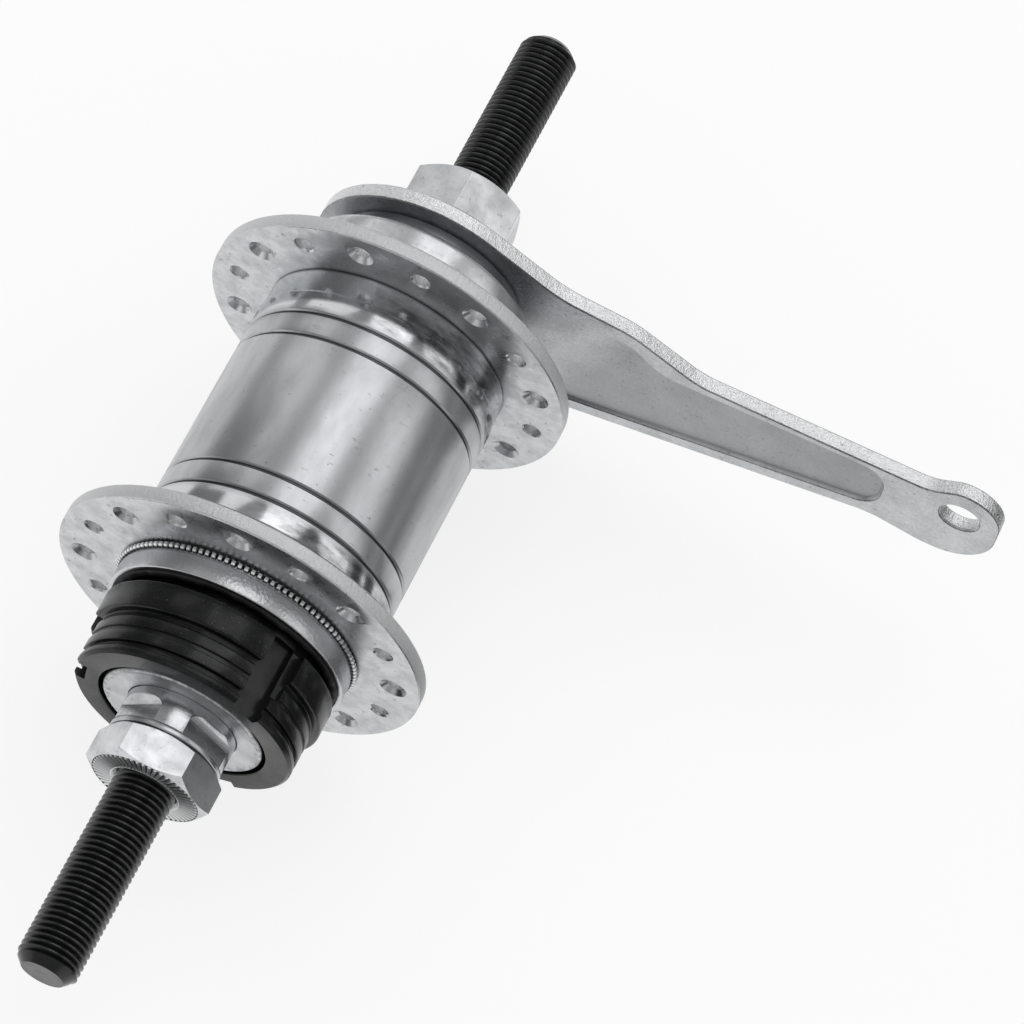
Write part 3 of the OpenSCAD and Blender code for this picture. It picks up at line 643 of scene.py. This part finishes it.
def placed(name, bm, finish):
    """An object of a bmesh with one material."""
    mesh = bpy.data.meshes.new(name)
    bm.to_mesh(mesh)
    bm.free()
    mesh.materials.append(finish)
    thing = bpy.data.objects.new(name, mesh)
    bpy.context.scene.collection.objects.link(thing)
    return thing


def piece(name, bm, finish, nodes, body=None, edge=0.0, smooth=32.0):
    """Makes a dressed piece, hangs it on its body and takes the place of its nodes."""
    thing = placed(name, bm, finish)
    thing.data.shade_smooth()
    thing.data.set_sharp_from_angle(angle=math.radians(smooth))
    if edge > 0:
        rounded = thing.modifiers.new("edges", "BEVEL")
        rounded.width = edge * MM
        rounded.segments = 2
        rounded.limit_method = "ANGLE"
        rounded.angle_limit = math.radians(smooth)
        rounded.harden_normals = True
    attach(thing, body or BODY_OF[nodes[0]])
    if nodes:
        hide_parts(*nodes)
    return thing


# The pieces

class HubOperator:
    """What the hub's operators share."""

    bl_options = {"REGISTER", "UNDO"}

    @property
    def sizes(self):
        """The sizes of the surface detail."""
        return bpy.context.scene.hub_sizes

    @property
    def tints(self):
        """The colours of the finishes."""
        return bpy.context.scene.hub_finishes

    def zinc(self):
        """The finish of the cover and the washers."""
        return finish_of("turned_bright_zinc", turned_zinc, self.tints.zinc)

    def bar_zinc(self):
        """The finish of the hexagon nuts."""
        return finish_of("drawn_bar_zinc", turned_zinc, "DCDEE0", 0.28)


class HUB_OT_axle(HubOperator, bpy.types.Operator):
    """Solid axle with its thread cut along the whole length"""

    bl_idname = "hub.axle"
    bl_label = "Axle"

    def execute(self, context):
        pitch = self.sizes.thread_pitch
        root = AXLE_R - self.sizes.thread_depth
        low, high = AXLE_ENDS
        chamfer = 1.4
        crest_start, crest_end = 0.42 * pitch, 0.58 * pitch
        start = low - pitch
        wire = [(root, start), (AXLE_R, start + crest_start), (AXLE_R, start + crest_end),
                (root, start + pitch)]
        bm = spun(loose(wire, closed=False), steps=48, rise=pitch)
        turns = 1
        while turns * pitch < high - start + pitch:
            again = bmesh.ops.duplicate(bm, geom=bm.verts[:] + bm.edges[:] + bm.faces[:])
            copied = [v for v in again["geom"] if isinstance(v, bmesh.types.BMVert)]
            bmesh.ops.translate(bm, vec=(0, turns * pitch * MM, 0), verts=copied)
            turns *= 2
        bmesh.ops.remove_doubles(bm, verts=bm.verts, dist=WELD)
        for y, side in ((low, -1), (high, 1)):
            bmesh.ops.bisect_plane(bm, geom=bm.verts[:] + bm.edges[:] + bm.faces[:],
                                   dist=1e-7, plane_co=(0, y * MM, 0), plane_no=(0, side, 0),
                                   clear_outer=True)
            rim = [e for e in bm.edges if e.is_boundary
                   and all(abs(v.co.y - y * MM) < 1e-6 for v in e.verts)]
            bmesh.ops.contextual_create(bm, geom=rim)
        for vert in bm.verts:
            reach = min(vert.co.y / MM - low, high - vert.co.y / MM)
            limit = (AXLE_R - chamfer + reach) * MM
            radius = math.hypot(vert.co.x, vert.co.z)
            if reach < chamfer and radius > limit:
                widened(bm, limit / radius, [vert])
        bmesh.ops.recalc_face_normals(bm, faces=bm.faces)
        finish = finish_of("black_oxide_thread", black_oxide, self.tints.oxide, AXLE_R)
        piece("threaded_axle", bm, finish, ["axle"], smooth=28.0)
        return {"FINISHED"}


def hexagon_nut(low, high, phase, flats=17.0, sink=0.6):
    """A hexagon nut: its corners are turned off at 30 degrees and its bore is countersunk."""
    corner = flats / math.sqrt(3)
    shoulder = flats / 2 - 0.3
    lift = (corner - shoulder) * math.tan(math.radians(30))
    outer = corner + 0.01
    lathe = turned([(0, low), (shoulder, low), (outer, low + lift), (outer, high - lift),
                    (shoulder, high), (0, high)], closed=False)
    body = cut(hexagonal_bar(corner, low, high, phase), lathe, "INTERSECT")
    return cut(body, drill(BORE_R, low, high, sink, sink, 96))


class HUB_OT_nuts(HubOperator, bpy.types.Operator):
    """Both hexagon nuts, and the serrations that bite on the frame"""

    bl_idname = "hub.nuts"
    bl_label = "Nuts"

    def execute(self, context):
        low, inner, outer, rim = -NUT_FACE, 5.5, 8.1, 8.45
        recess, height = 0.7, 0.3
        nut = cut(hexagon_nut(low, LOCKNUT_BACK, 58.0), turned([
            (inner, low - 1), (rim, low - 1), (rim, low + recess), (inner, low + recess)]))
        piece("hex_locknut", nut, self.bar_zinc(), ["locknut"], edge=0.16)
        piece("hex_arm_nut", hexagon_nut(ARM_NUT_FRONT, NUT_FACE, 90.0), self.bar_zinc(),
              ["arm_nut"], edge=0.32)
        rows = 2 * self.sizes.nut_teeth
        bm = turned([(inner, low), (outer, low), (rim, low + 0.2), (rim, low + recess + 0.1),
                     (inner, low + recess + 0.1)], steps=rows)
        valleys = [v for v in bm.verts if v.co.y < (low + height) * MM
                   and round(angle_of(v) * rows / TAU) % 2]
        bmesh.ops.translate(bm, vec=(0, height * MM, 0), verts=valleys)
        # The serrations' valleys get painted shade at 0.10 of the colour.
        finish = finish_of("serrated_face_zinc", toothed_zinc, "E2E3E4", 0.10, 0.36, 0.5, 0.01,
                           face_crests)
        piece("locknut_serrations", bm, finish, [], body="axle_set", smooth=20.0)
        return {"FINISHED"}


class HUB_OT_washers(HubOperator, bpy.types.Operator):
    """The lock washer and the thick washer behind the arm"""

    bl_idname = "hub.washers"
    bl_label = "Washers"

    def execute(self, context):
        for name, node, low, high, radius, edge in (
                ("lock_washer_ring", "lock_washer", LOCKNUT_BACK, CONE_FACE, 8.8, 0.2),
                ("arm_washer_ring", "arm_washer", ARM_BACK, ARM_NUT_FRONT, 9.5, 0.3)):
            ring = turned([(BORE_R, low), (radius, low, edge), (radius, high, edge),
                           (BORE_R, high)])
            piece(name, ring, self.zinc(), [node])
        return {"FINISHED"}


class HUB_OT_adjusting_cone(HubOperator, bpy.types.Operator):
    """Adjusting cone with four milled wrench flats and its ball race"""

    bl_idname = "hub.adjusting_cone"
    bl_label = "Adjusting cone"

    def execute(self, context):
        radius, flat, stop, run_out = 8.65, 7.5, -45.7, 1.5
        race_front, race_back = -39.28, -35.58
        bm = turned([
            (BORE_R, CONE_FACE), (radius, CONE_FACE, 0.2), (radius, CONE_SHOULDER),
            (9.4, CONE_SHOULDER), (9.4, race_front), (5.7, race_back), (BORE_R, race_back)])
        rise = radius - flat
        mill = (run_out ** 2 + rise ** 2) / (2 * rise)

        def side():
            return brick((flat, CONE_FACE - 1, -radius), (radius + 1, stop, radius))

        def cutter():
            wheel = bmesh.new()
            bmesh.ops.create_cone(wheel, cap_ends=True, segments=128, radius1=mill * MM,
                                  radius2=mill * MM, depth=1.6 * radius * MM,
                                  matrix=Matrix.Translation(((flat + mill) * MM, stop * MM, 0)))
            return wheel

        bm = cut(bm, around(side, 4, 45))
        for angle in (45, 135, 225, 315):
            bm = cut(bm, at_angle(cutter(), angle))
        finish = finish_of("machined_cone_zinc", turned_zinc, self.tints.zinc, 0.15)
        piece("wrench_flat_cone", bm, finish, ["adjusting_cone"], edge=0.12,
              smooth=24.0)
        return {"FINISHED"}


class HUB_OT_dust_caps(HubOperator, bpy.types.Operator):
    """The dished cap in the driver's mouth and the deep cover behind the arm"""

    bl_idname = "hub.dust_caps"
    bl_label = "Dust caps"

    def execute(self, context):
        inner, front, back = 8.75, -43.2, CONE_SHOULDER
        cap = turned([
            (inner, front + 0.2, 0.1), (10.0, front + 0.35, 0.3), (11.6, front + 0.25, 0.3),
            (12.2, front, 0.15), (12.6, front, 0.15), (CAP_R, front + 0.3, 0.1), (CAP_R, back),
            (inner, back)])
        finish = finish_of("stained_cap_zinc", turned_zinc, self.tints.zinc, 0.3, CAP_R)
        piece("dished_dust_cap", cap, finish, ["drive_dust_cap"])
        cover = turned([
            (13.42, 37.3), (16.2, 37.3, 0.4), (18.1, 36.65, 0.4), (19.0, 36.1, 0.6),
            (19.0, 32.35, 0.15), (18.3, 32.35, 0.15), (18.3, 35.5, 0.4), (15.9, 36.6, 0.3),
            (13.42, 36.6)])
        piece("deep_dust_cover", cover, self.zinc(), ["arm_dust_cover"])
        return {"FINISHED"}


class HUB_OT_driver(HubOperator, bpy.types.Operator):
    """Sprocket driver: lands, snap ring groove, drum, keyways and the quick screw"""

    bl_idname = "hub.driver"
    bl_label = "Driver"

    def execute(self, context):
        seat, low, deep, drum = 17.45, 17.10, 16.65, 18.45
        screw_r, e = 8.4, self.sizes.edge
        lip_and_snap_groove = [
            (13.4, -43.3, e), (16.95, -43.3), (seat, -42.8, 0.1), (seat, -42.05, e),
            (deep, -42.05, 0.15), (deep, -41.05, 0.15)]
        lands = [
            (seat, -41.05, e), (seat, -39.3, e), (low, -39.3, 0.1), (low, -38.6, 0.1),
            (seat, -38.6, e), (seat, -36.85, e), (low, -36.85, 0.1), (low, -35.95, 0.2)]
        drum_and_race = [
            (drum, -35.95, 0.4), (drum, -31.35, 0.4), (16.45, -31.35, 0.3), (16.45, -27.85),
            (12.447, -27.85), (9.9, -25.303), (9.9, -20.525)]
        screw = [(screw_r, -20.225), (screw_r, -2.86), (8.1, -2.56), (5.35, -2.56)]
        bore = [(5.35, -30.92), (8.0, -30.92), (12.28, -35.2), (12.28, -39.5), (13.4, -39.5)]
        bm = turned(lip_and_snap_groove + lands + drum_and_race + screw + bore, steps=240)

        def keyway():
            return brick((15.45, -45, -2.3), (22, -30.9, 2.3))

        def keyway_step():
            return brick((16.45, -39.0, -3.5), (22, -30.9, -2.0))

        for make in (keyway, keyway_step):
            bm = cut(bm, around(make, 3, 55.0))
        width, lead, starts = 5.9, 26.0, 4
        root, tip = screw_r - 1.1, screw_r + 0.9
        begin, length, steps = -18.4, 16.9, 40

        def groove():
            wire = bmesh.new()
            corners = [(root, -width / 2), (tip, -width / 2), (tip, width / 2), (root, width / 2)]
            wire.faces.new([wire.verts.new((x * MM, begin * MM, z * MM)) for x, z in corners])
            bmesh.ops.spin(wire, geom=wire.verts[:] + wire.edges[:] + wire.faces[:],
                           cent=(0, 0, 0), axis=(0, 1, 0), dvec=(0, length * MM / steps, 0),
                           angle=length / lead * TAU, steps=steps, use_merge=False)
            bmesh.ops.recalc_face_normals(wire, faces=wire.faces)
            return wire

        for i in range(starts):
            bm = cut(bm, at_angle(groove(), 360 / starts * i))
        finish = finish_of("blackened_driver_steel", blackened_steel, self.tints.driver)
        piece("keyed_driver", bm, finish, ["driver"], edge=0.14, smooth=40.0)
        return {"FINISHED"}


class HUB_OT_seal(HubOperator, bpy.types.Operator):
    """Black seal ring in the drive side mouth of the shell"""

    bl_idname = "hub.seal"
    bl_label = "Mouth seal"

    def execute(self, context):
        finish = finish_of("moulded_black_rubber", plain_finish, "121213", 0.0, 0.55, 0.75, 0.3,
                           0.02)
        bm = turned([
            (16.72, -28.15), (17.93, -28.15), (17.93, -29.47), (18.25, -29.5, 0.1),
            (18.2, -29.8, 0.15), (17.6, -30.0, 0.25), (16.85, -29.75, 0.3), (16.72, -29.3)])
        waves = ((0.1, 7, 0), (0.07, 17, 1), (0.05, 41, 2))
        for vert in bm.verts:
            if vert.co.y < -29.6 * MM:
                swell = sum(height * math.sin(times * angle_of(vert) + start)
                            for height, times, start in waves)
                vert.co.y -= swell * MM
                widened(bm, 1 + 0.02 * swell, [vert])
        piece("mouth_seal_ring", bm, finish, ["mouth_seal"])
        return {"FINISHED"}


def shell_side(side):
    """Outside of half of the shell from the middle to one mouth, then to the cup's seat."""
    groove, depth, flat = 0.8, 0.4, 0.2
    points = []
    for place in (11.7, 15.7):
        points += [(BARREL_R, place - groove / 2, 0.08), (BARREL_R - depth, place - flat / 2),
                   (BARREL_R - depth, place + flat / 2), (BARREL_R, place + groove / 2, 0.08)]
    points += [(BARREL_R, 19.5, 0.15), (19.5, 19.75, 0.1), (19.5, 23.74, 0.1), (19.0, 23.74),
               (19.0, 26.26), (18.75, 26.4), (18.75, 27.5), (18.9, 27.6, 0.1), (18.9, 30.65, 0.3),
               (17.95, 30.65, 0.25), (17.95, 29.35), (17.6, 29.35), (17.6, 20.55)]
    return [(p[0], SHELL_MID + side * p[1], *p[2:]) for p in points]


class HUB_OT_barrel(HubOperator, bpy.types.Operator):
    """Polished barrel with its grooves, collars, cup seats, driving taper and brake bore"""

    bl_idname = "hub.barrel"
    bl_label = "Barrel"

    def execute(self, context):
        brake_bore_and_taper = [(17.25, 21.75), (17.25, -9.35), (15.577, -19.35)]
        outline = shell_side(-1)[::-1] + shell_side(1) + brake_bore_and_taper
        finish = finish_of("polished_plated_barrel", polished_zinc, self.tints.shell, BARREL_R)
        piece("shell_barrel", turned(outline, steps=256), finish, ["hub_barrel"],
              smooth=26.0)
        # The gaps between the ring's teeth get painted shade at 0.06 of the colour.
        plated = finish_of("staked_ring_zinc", toothed_zinc, "F0F1F1", 0.06, 0.24, 0.45, 0.02,
                           ring_tops)
        rows = 6 * self.sizes.lock_teeth
        for label, side in (("drive", -1), ("arm", 1)):
            bm = turned([(r, SHELL_MID + side * y) for r, y in (
                (18.6, 26.27), (18.9, 26.27), (18.9, 26.5), (19.45, 26.62), (19.45, 27.0),
                (19.25, 27.2), (18.6, 27.2))], steps=rows)
            gaps = [v for v in bm.verts if math.hypot(v.co.x, v.co.z) > 19.0 * MM
                    and round(angle_of(v) * rows / TAU) % 6 > 3]
            widened(bm, 0.965, gaps)
            piece("lock_ring_teeth_" + label, bm, plated, [], body="hub",
                  smooth=10.0)
        return {"FINISHED"}


class HUB_OT_flanges(HubOperator, bpy.types.Operator):
    """Stamped spoke flanges, with holes countersunk on alternate faces"""

    bl_idname = "hub.flanges"
    bl_label = "Spoke flanges"

    def execute(self, context):
        finish = finish_of("stamped_flange_zinc", stamped_zinc, self.tints.flange)
        half, hole, sink, burr, holes = 1.25, 1.4, 0.75, 0.25, 16
        for label, middle, phase in (("drive", -23.8, 3.0), ("arm", 26.2, 14.25)):
            low, high = middle - half, middle + half
            bm = turned([(FLANGE_SEAT_R, low), (FLANGE_R, low, 0.3), (FLANGE_R, high, 0.3),
                         (FLANGE_SEAT_R, high)], steps=256)
            tools = []
            for i in range(holes):
                sinks = (burr, sink) if i % 2 else (sink, burr)
                tool = moved_by(drill(hole, low, high, *sinks, 32), SPOKE_CIRCLE_R, 0, 0)
                tools.append(at_angle(tool, phase + 360 / holes * i))
            piece("spoke_flange_" + label, cut(bm, gathered(tools)), finish,
                  [label + "_flange"], edge=0.12, smooth=30.0)
        return {"FINISHED"}


def pressed_channel(corners, depth, slope):
    """The tool that presses the arm's channel: walls that lean, and a floor that rises to -X."""
    tool = slab(corners, ARM_FACE - 1, ARM_FACE + depth)
    for vert in tool.verts:
        walls = [f.normal for f in vert.link_faces if abs(f.normal.y) < 0.5]
        out = sum(walls, Vector()).normalized()
        raised = vert.co.y < ARM_FACE * MM
        vert.co += out * slope * MM * (0.5 + 1 / depth if raised else -0.5)
    ramp_point = Vector((35, ARM_FACE + depth, 4)) * MM
    ramp_side = Vector((-0.054, 1, 0.0258)).normalized()
    bmesh.ops.bisect_plane(tool, geom=tool.verts[:] + tool.edges[:] + tool.faces[:], dist=1e-7,
                           plane_co=ramp_point, plane_no=ramp_side, clear_outer=True)
    bmesh.ops.contextual_create(tool, geom=[e for e in tool.edges if e.is_boundary])
    bmesh.ops.recalc_face_normals(tool, faces=tool.faces)
    return tool


class HUB_OT_arm(HubOperator, bpy.types.Operator):
    """Pressed brake arm with its channel, square hole and clip hole"""

    bl_idname = "hub.arm"
    bl_label = "Brake arm"

    def execute(self, context):
        drop = math.radians(27)
        head_top = HEAD_R * (1 - math.cos(drop)) / math.sin(drop)
        tip = ARM_REACH + 6.4
        outline = [
            (-HEAD_R, HEAD_R, HEAD_R), (head_top, HEAD_R, HEAD_R), (21.1, 10.3, 14),
            (33, 9.2, 11), (44.9, 3.6, 9), (ARM_REACH - 5.89, 3.84, 5.76),
            (ARM_REACH - 1.28, 6.72, 3.97), (tip, 6.72, 6.4), (tip, -11.71, 8.64),
            (ARM_REACH - 4.48, -11.71, 11.97), (ARM_REACH - 12.99, -10.24, 11.97),
            (2, -24.9, 19), (-HEAD_R, -12.4, 17)]
        channel_end = ARM_REACH - 12.4
        channel = [
            (10, 7.6, 3), (33.29, 6.1, 5.61), (38.6, 1.68, 7.48), (channel_end, 2.6, 4),
            (channel_end, -7.4, 4.4), (10, -20.5, 3)]
        depth, square, clip, sink = 0.6, 7.1, 3.1, 0.35
        edge = self.sizes.arm_edge
        plate = slab(outline, ARM_FACE, ARM_BACK)
        rims = [e for e in plate.edges if abs(e.verts[0].co.y - e.verts[1].co.y) < 1e-7]
        bmesh.ops.bevel(plate, geom=rims, offset=edge * MM, offset_type="OFFSET", segments=4,
                        profile=0.5, affect="EDGES", clamp_overlap=False, material=-1)
        bm = cut(plate, pressed_channel(channel, depth, self.sizes.channel_slope))
        bm = cut(bm, brick((-square, ARM_FACE - 1, -square), (square, ARM_BACK + 1, square)))
        bm = cut(bm, moved_by(drill(clip, ARM_FACE, ARM_BACK, sink, sink, 64), ARM_REACH, 0, 0))
        finish = finish_of("pressed_arm_zinc", pressed_zinc, self.tints.arm, ARM_FACE + depth)
        arm = piece("pressed_brake_arm", bm, finish, ["brake_arm"], edge=edge,
                    smooth=30.0)
        arm.modifiers["edges"].segments = 3
        arm.modifiers.new("flat_faces_stay_flat", "WEIGHTED_NORMAL").keep_sharp = True
        return {"FINISHED"}


class HUB_OT_inner_parts(HubOperator, bpy.types.Operator):
    """Finishes of the working parts inside the shell"""

    bl_idname = "hub.inner_parts"
    bl_label = "Inner parts"

    def execute(self, context):
        # Each row is a finish's name, colour, least and most roughness, grain and bump, then nodes.
        for name, tint, low, high, grain_span, depth, nodes in (
                ("ground_hardened_steel", self.tints.hard, 0.26, 0.42, 0.2, 0.006,
                 ("drive_side_cup", "arm_side_cup", "clutch_cone", "arm_cone")),
                ("polished_chromium_steel", "D8DADD", 0.05, 0.10, 0.3, 0.0004,
                 ("driver_balls", "drive_side_balls", "arm_side_balls")),
                ("pressed_spring_steel", "A3A5A8", 0.28, 0.45, 0.3, 0.006,
                 ("driver_ball_cage", "drive_side_cage", "arm_side_cage")),
                ("sintered_bronze", self.tints.bronze, 0.42, 0.62, 0.25, 0.02,
                 ("upper_shoe", "lower_shoe")),
                ("drawn_spring_wire", "6E7073", 0.30, 0.45, 0.25, 0.006,
                 ("retarder_spring",))):
            finish = finish_of(name, plain_finish, tint, 1.0, low, high, grain_span, depth)
            for node in nodes:
                for place in frame["nodes"][node].material_slots:
                    place.link = "OBJECT"
                    place.material = finish
        return {"FINISHED"}


# The stage

def lamp(name, power, place, width, height):
    """A soft rectangular lamp that faces the hub."""
    data = bpy.data.lights.new(name, "AREA")
    data.shape = "RECTANGLE"
    data.size, data.size_y = width, height
    data.energy = power
    thing = bpy.data.objects.new(name, data)
    bpy.context.scene.collection.objects.link(thing)
    thing.location = place
    aim = Vector(HUB_POINT) - Vector(place)
    thing.rotation_euler = aim.to_track_quat("-Z", "Y").to_euler()


def card(name, place, width, height, shade, target):
    """A card that only metal mirrors: it lights nothing, casts no shadow and is outside the view."""
    bm = bmesh.new()
    bmesh.ops.create_grid(bm, x_segments=1, y_segments=1, size=0.5)
    bmesh.ops.scale(bm, vec=(width, height, 1), verts=bm.verts)
    turn = (Vector(target) - Vector(place)).to_track_quat("Z", "Y").to_matrix().to_4x4()
    bmesh.ops.transform(bm, matrix=Matrix.Translation(place) @ turn, verts=bm.verts)
    material = fresh(name + "_surface").surfaced(
        "ShaderNodeEmission", {"Color": (shade, shade, shade, 1), "Strength": 1.0})
    thing = placed(name, bm, material)
    thing.visible_camera = False
    thing.visible_diffuse = False
    thing.visible_shadow = False
    thing.visible_transmission = False


class HUB_OT_stage(HubOperator, bpy.types.Operator):
    """Floor, lamps, cards, sky and the camera at the photograph's angle"""

    bl_idname = "hub.stage"
    bl_label = "Stage"

    def floor(self, studio):
        """A matte floor that the camera and metal see as nearly white paper."""
        bm = bmesh.new()
        bmesh.ops.create_grid(bm, x_segments=1, y_segments=1, size=FLOOR_SPAN / 2,
                              matrix=Matrix.Translation((0, 0, FLOOR_Z)))
        n = fresh("matte_studio_paper")
        paper = n.add("ShaderNodeBsdfDiffuse", {"Color": linear(studio.floor)})
        white = n.add("ShaderNodeEmission", {"Color": WHITE, "Strength": 1.0})
        ray = n.add("ShaderNodeLightPath").outputs
        seen = n.product(ray["Is Camera Ray"], 0.8)
        mirrored = n.product(ray["Is Glossy Ray"], studio.floor_in_metal)
        material = n.surfaced("ShaderNodeMixShader", {
            0: n.maths("ADD", seen, mirrored), 1: paper.outputs[0], 2: white.outputs[0]})
        placed("studio_floor", bm, material)

    def sky(self, studio):
        """An even sky, dimmer where metal mirrors it and white to the camera."""
        n = Nodes(bpy.data.worlds.new("studio_sky"))
        ray = n.add("ShaderNodeLightPath").outputs
        mirrored = n.ranged(ray["Is Glossy Ray"], 0.0, 1.0, studio.sky, studio.sky_in_metal)
        strength = n.maths("MAXIMUM", mirrored, ray["Is Camera Ray"])
        return n.surfaced("ShaderNodeBackground", {"Color": WHITE, "Strength": strength},
                          "ShaderNodeOutputWorld")

    def camera(self):
        """The camera that was fitted to the photograph."""
        eye = bpy.data.cameras.new("photo_camera")
        eye.lens = CAMERA_LENS
        eye.sensor_width = 36.0
        eye.clip_start, eye.clip_end = CAMERA_RANGE
        thing = bpy.data.objects.new("photo_camera", eye)
        bpy.context.scene.collection.objects.link(thing)
        thing.location = CAMERA_PLACE
        thing.rotation_euler = Euler([math.radians(a) for a in CAMERA_DEGREES])
        return thing

    def execute(self, context):
        scene = context.scene
        studio = scene.hub_studio
        self.floor(studio)
        scene.world = self.sky(studio)
        for name, setting, place, width, height in LAMPS:
            lamp(name, getattr(studio, setting), place, width, height)
        for row in CARDS:
            card(*row)
        scene.camera = self.camera()
        scene.view_settings.view_transform = "Standard"
        return {"FINISHED"}


STEPS = (HUB_OT_stage, HUB_OT_axle, HUB_OT_nuts, HUB_OT_washers, HUB_OT_adjusting_cone,
         HUB_OT_dust_caps, HUB_OT_driver, HUB_OT_seal, HUB_OT_barrel, HUB_OT_flanges, HUB_OT_arm,
         HUB_OT_inner_parts)


class HUB_PT_sidebar(bpy.types.Panel):
    """The hub's settings and pieces in the sidebar"""

    bl_label = "Coaster brake hub"
    bl_idname = "HUB_PT_sidebar"
    bl_space_type = "VIEW_3D"
    bl_region_type = "UI"
    bl_category = "Hub"

    def draw(self, context):
        for group in (context.scene.hub_sizes, context.scene.hub_finishes,
                      context.scene.hub_studio):
            box = self.layout.box()
            for name in group.bl_rna.properties.keys():
                if name not in {"rna_type", "name"}:
                    box.prop(group, name)
        for step in STEPS:
            self.layout.operator(step.bl_idname)


CLASSES = (HubSizes, HubFinishes, HubStudio, *STEPS, HUB_PT_sidebar)


def register():
    """Adds the classes and the settings."""
    for item in CLASSES:
        bpy.utils.register_class(item)
    bpy.types.Scene.hub_sizes = bpy.props.PointerProperty(type=HubSizes)
    bpy.types.Scene.hub_finishes = bpy.props.PointerProperty(type=HubFinishes)
    bpy.types.Scene.hub_studio = bpy.props.PointerProperty(type=HubStudio)


def unregister():
    """Takes them away again."""
    del bpy.types.Scene.hub_studio
    del bpy.types.Scene.hub_finishes
    del bpy.types.Scene.hub_sizes
    for item in reversed(CLASSES):
        bpy.utils.unregister_class(item)


def main():
    """Builds every piece."""
    register()
    for step in STEPS:
        group, name = step.bl_idname.split(".")
        getattr(getattr(bpy.ops, group), name)()


if __name__ == "__main__":
    main()
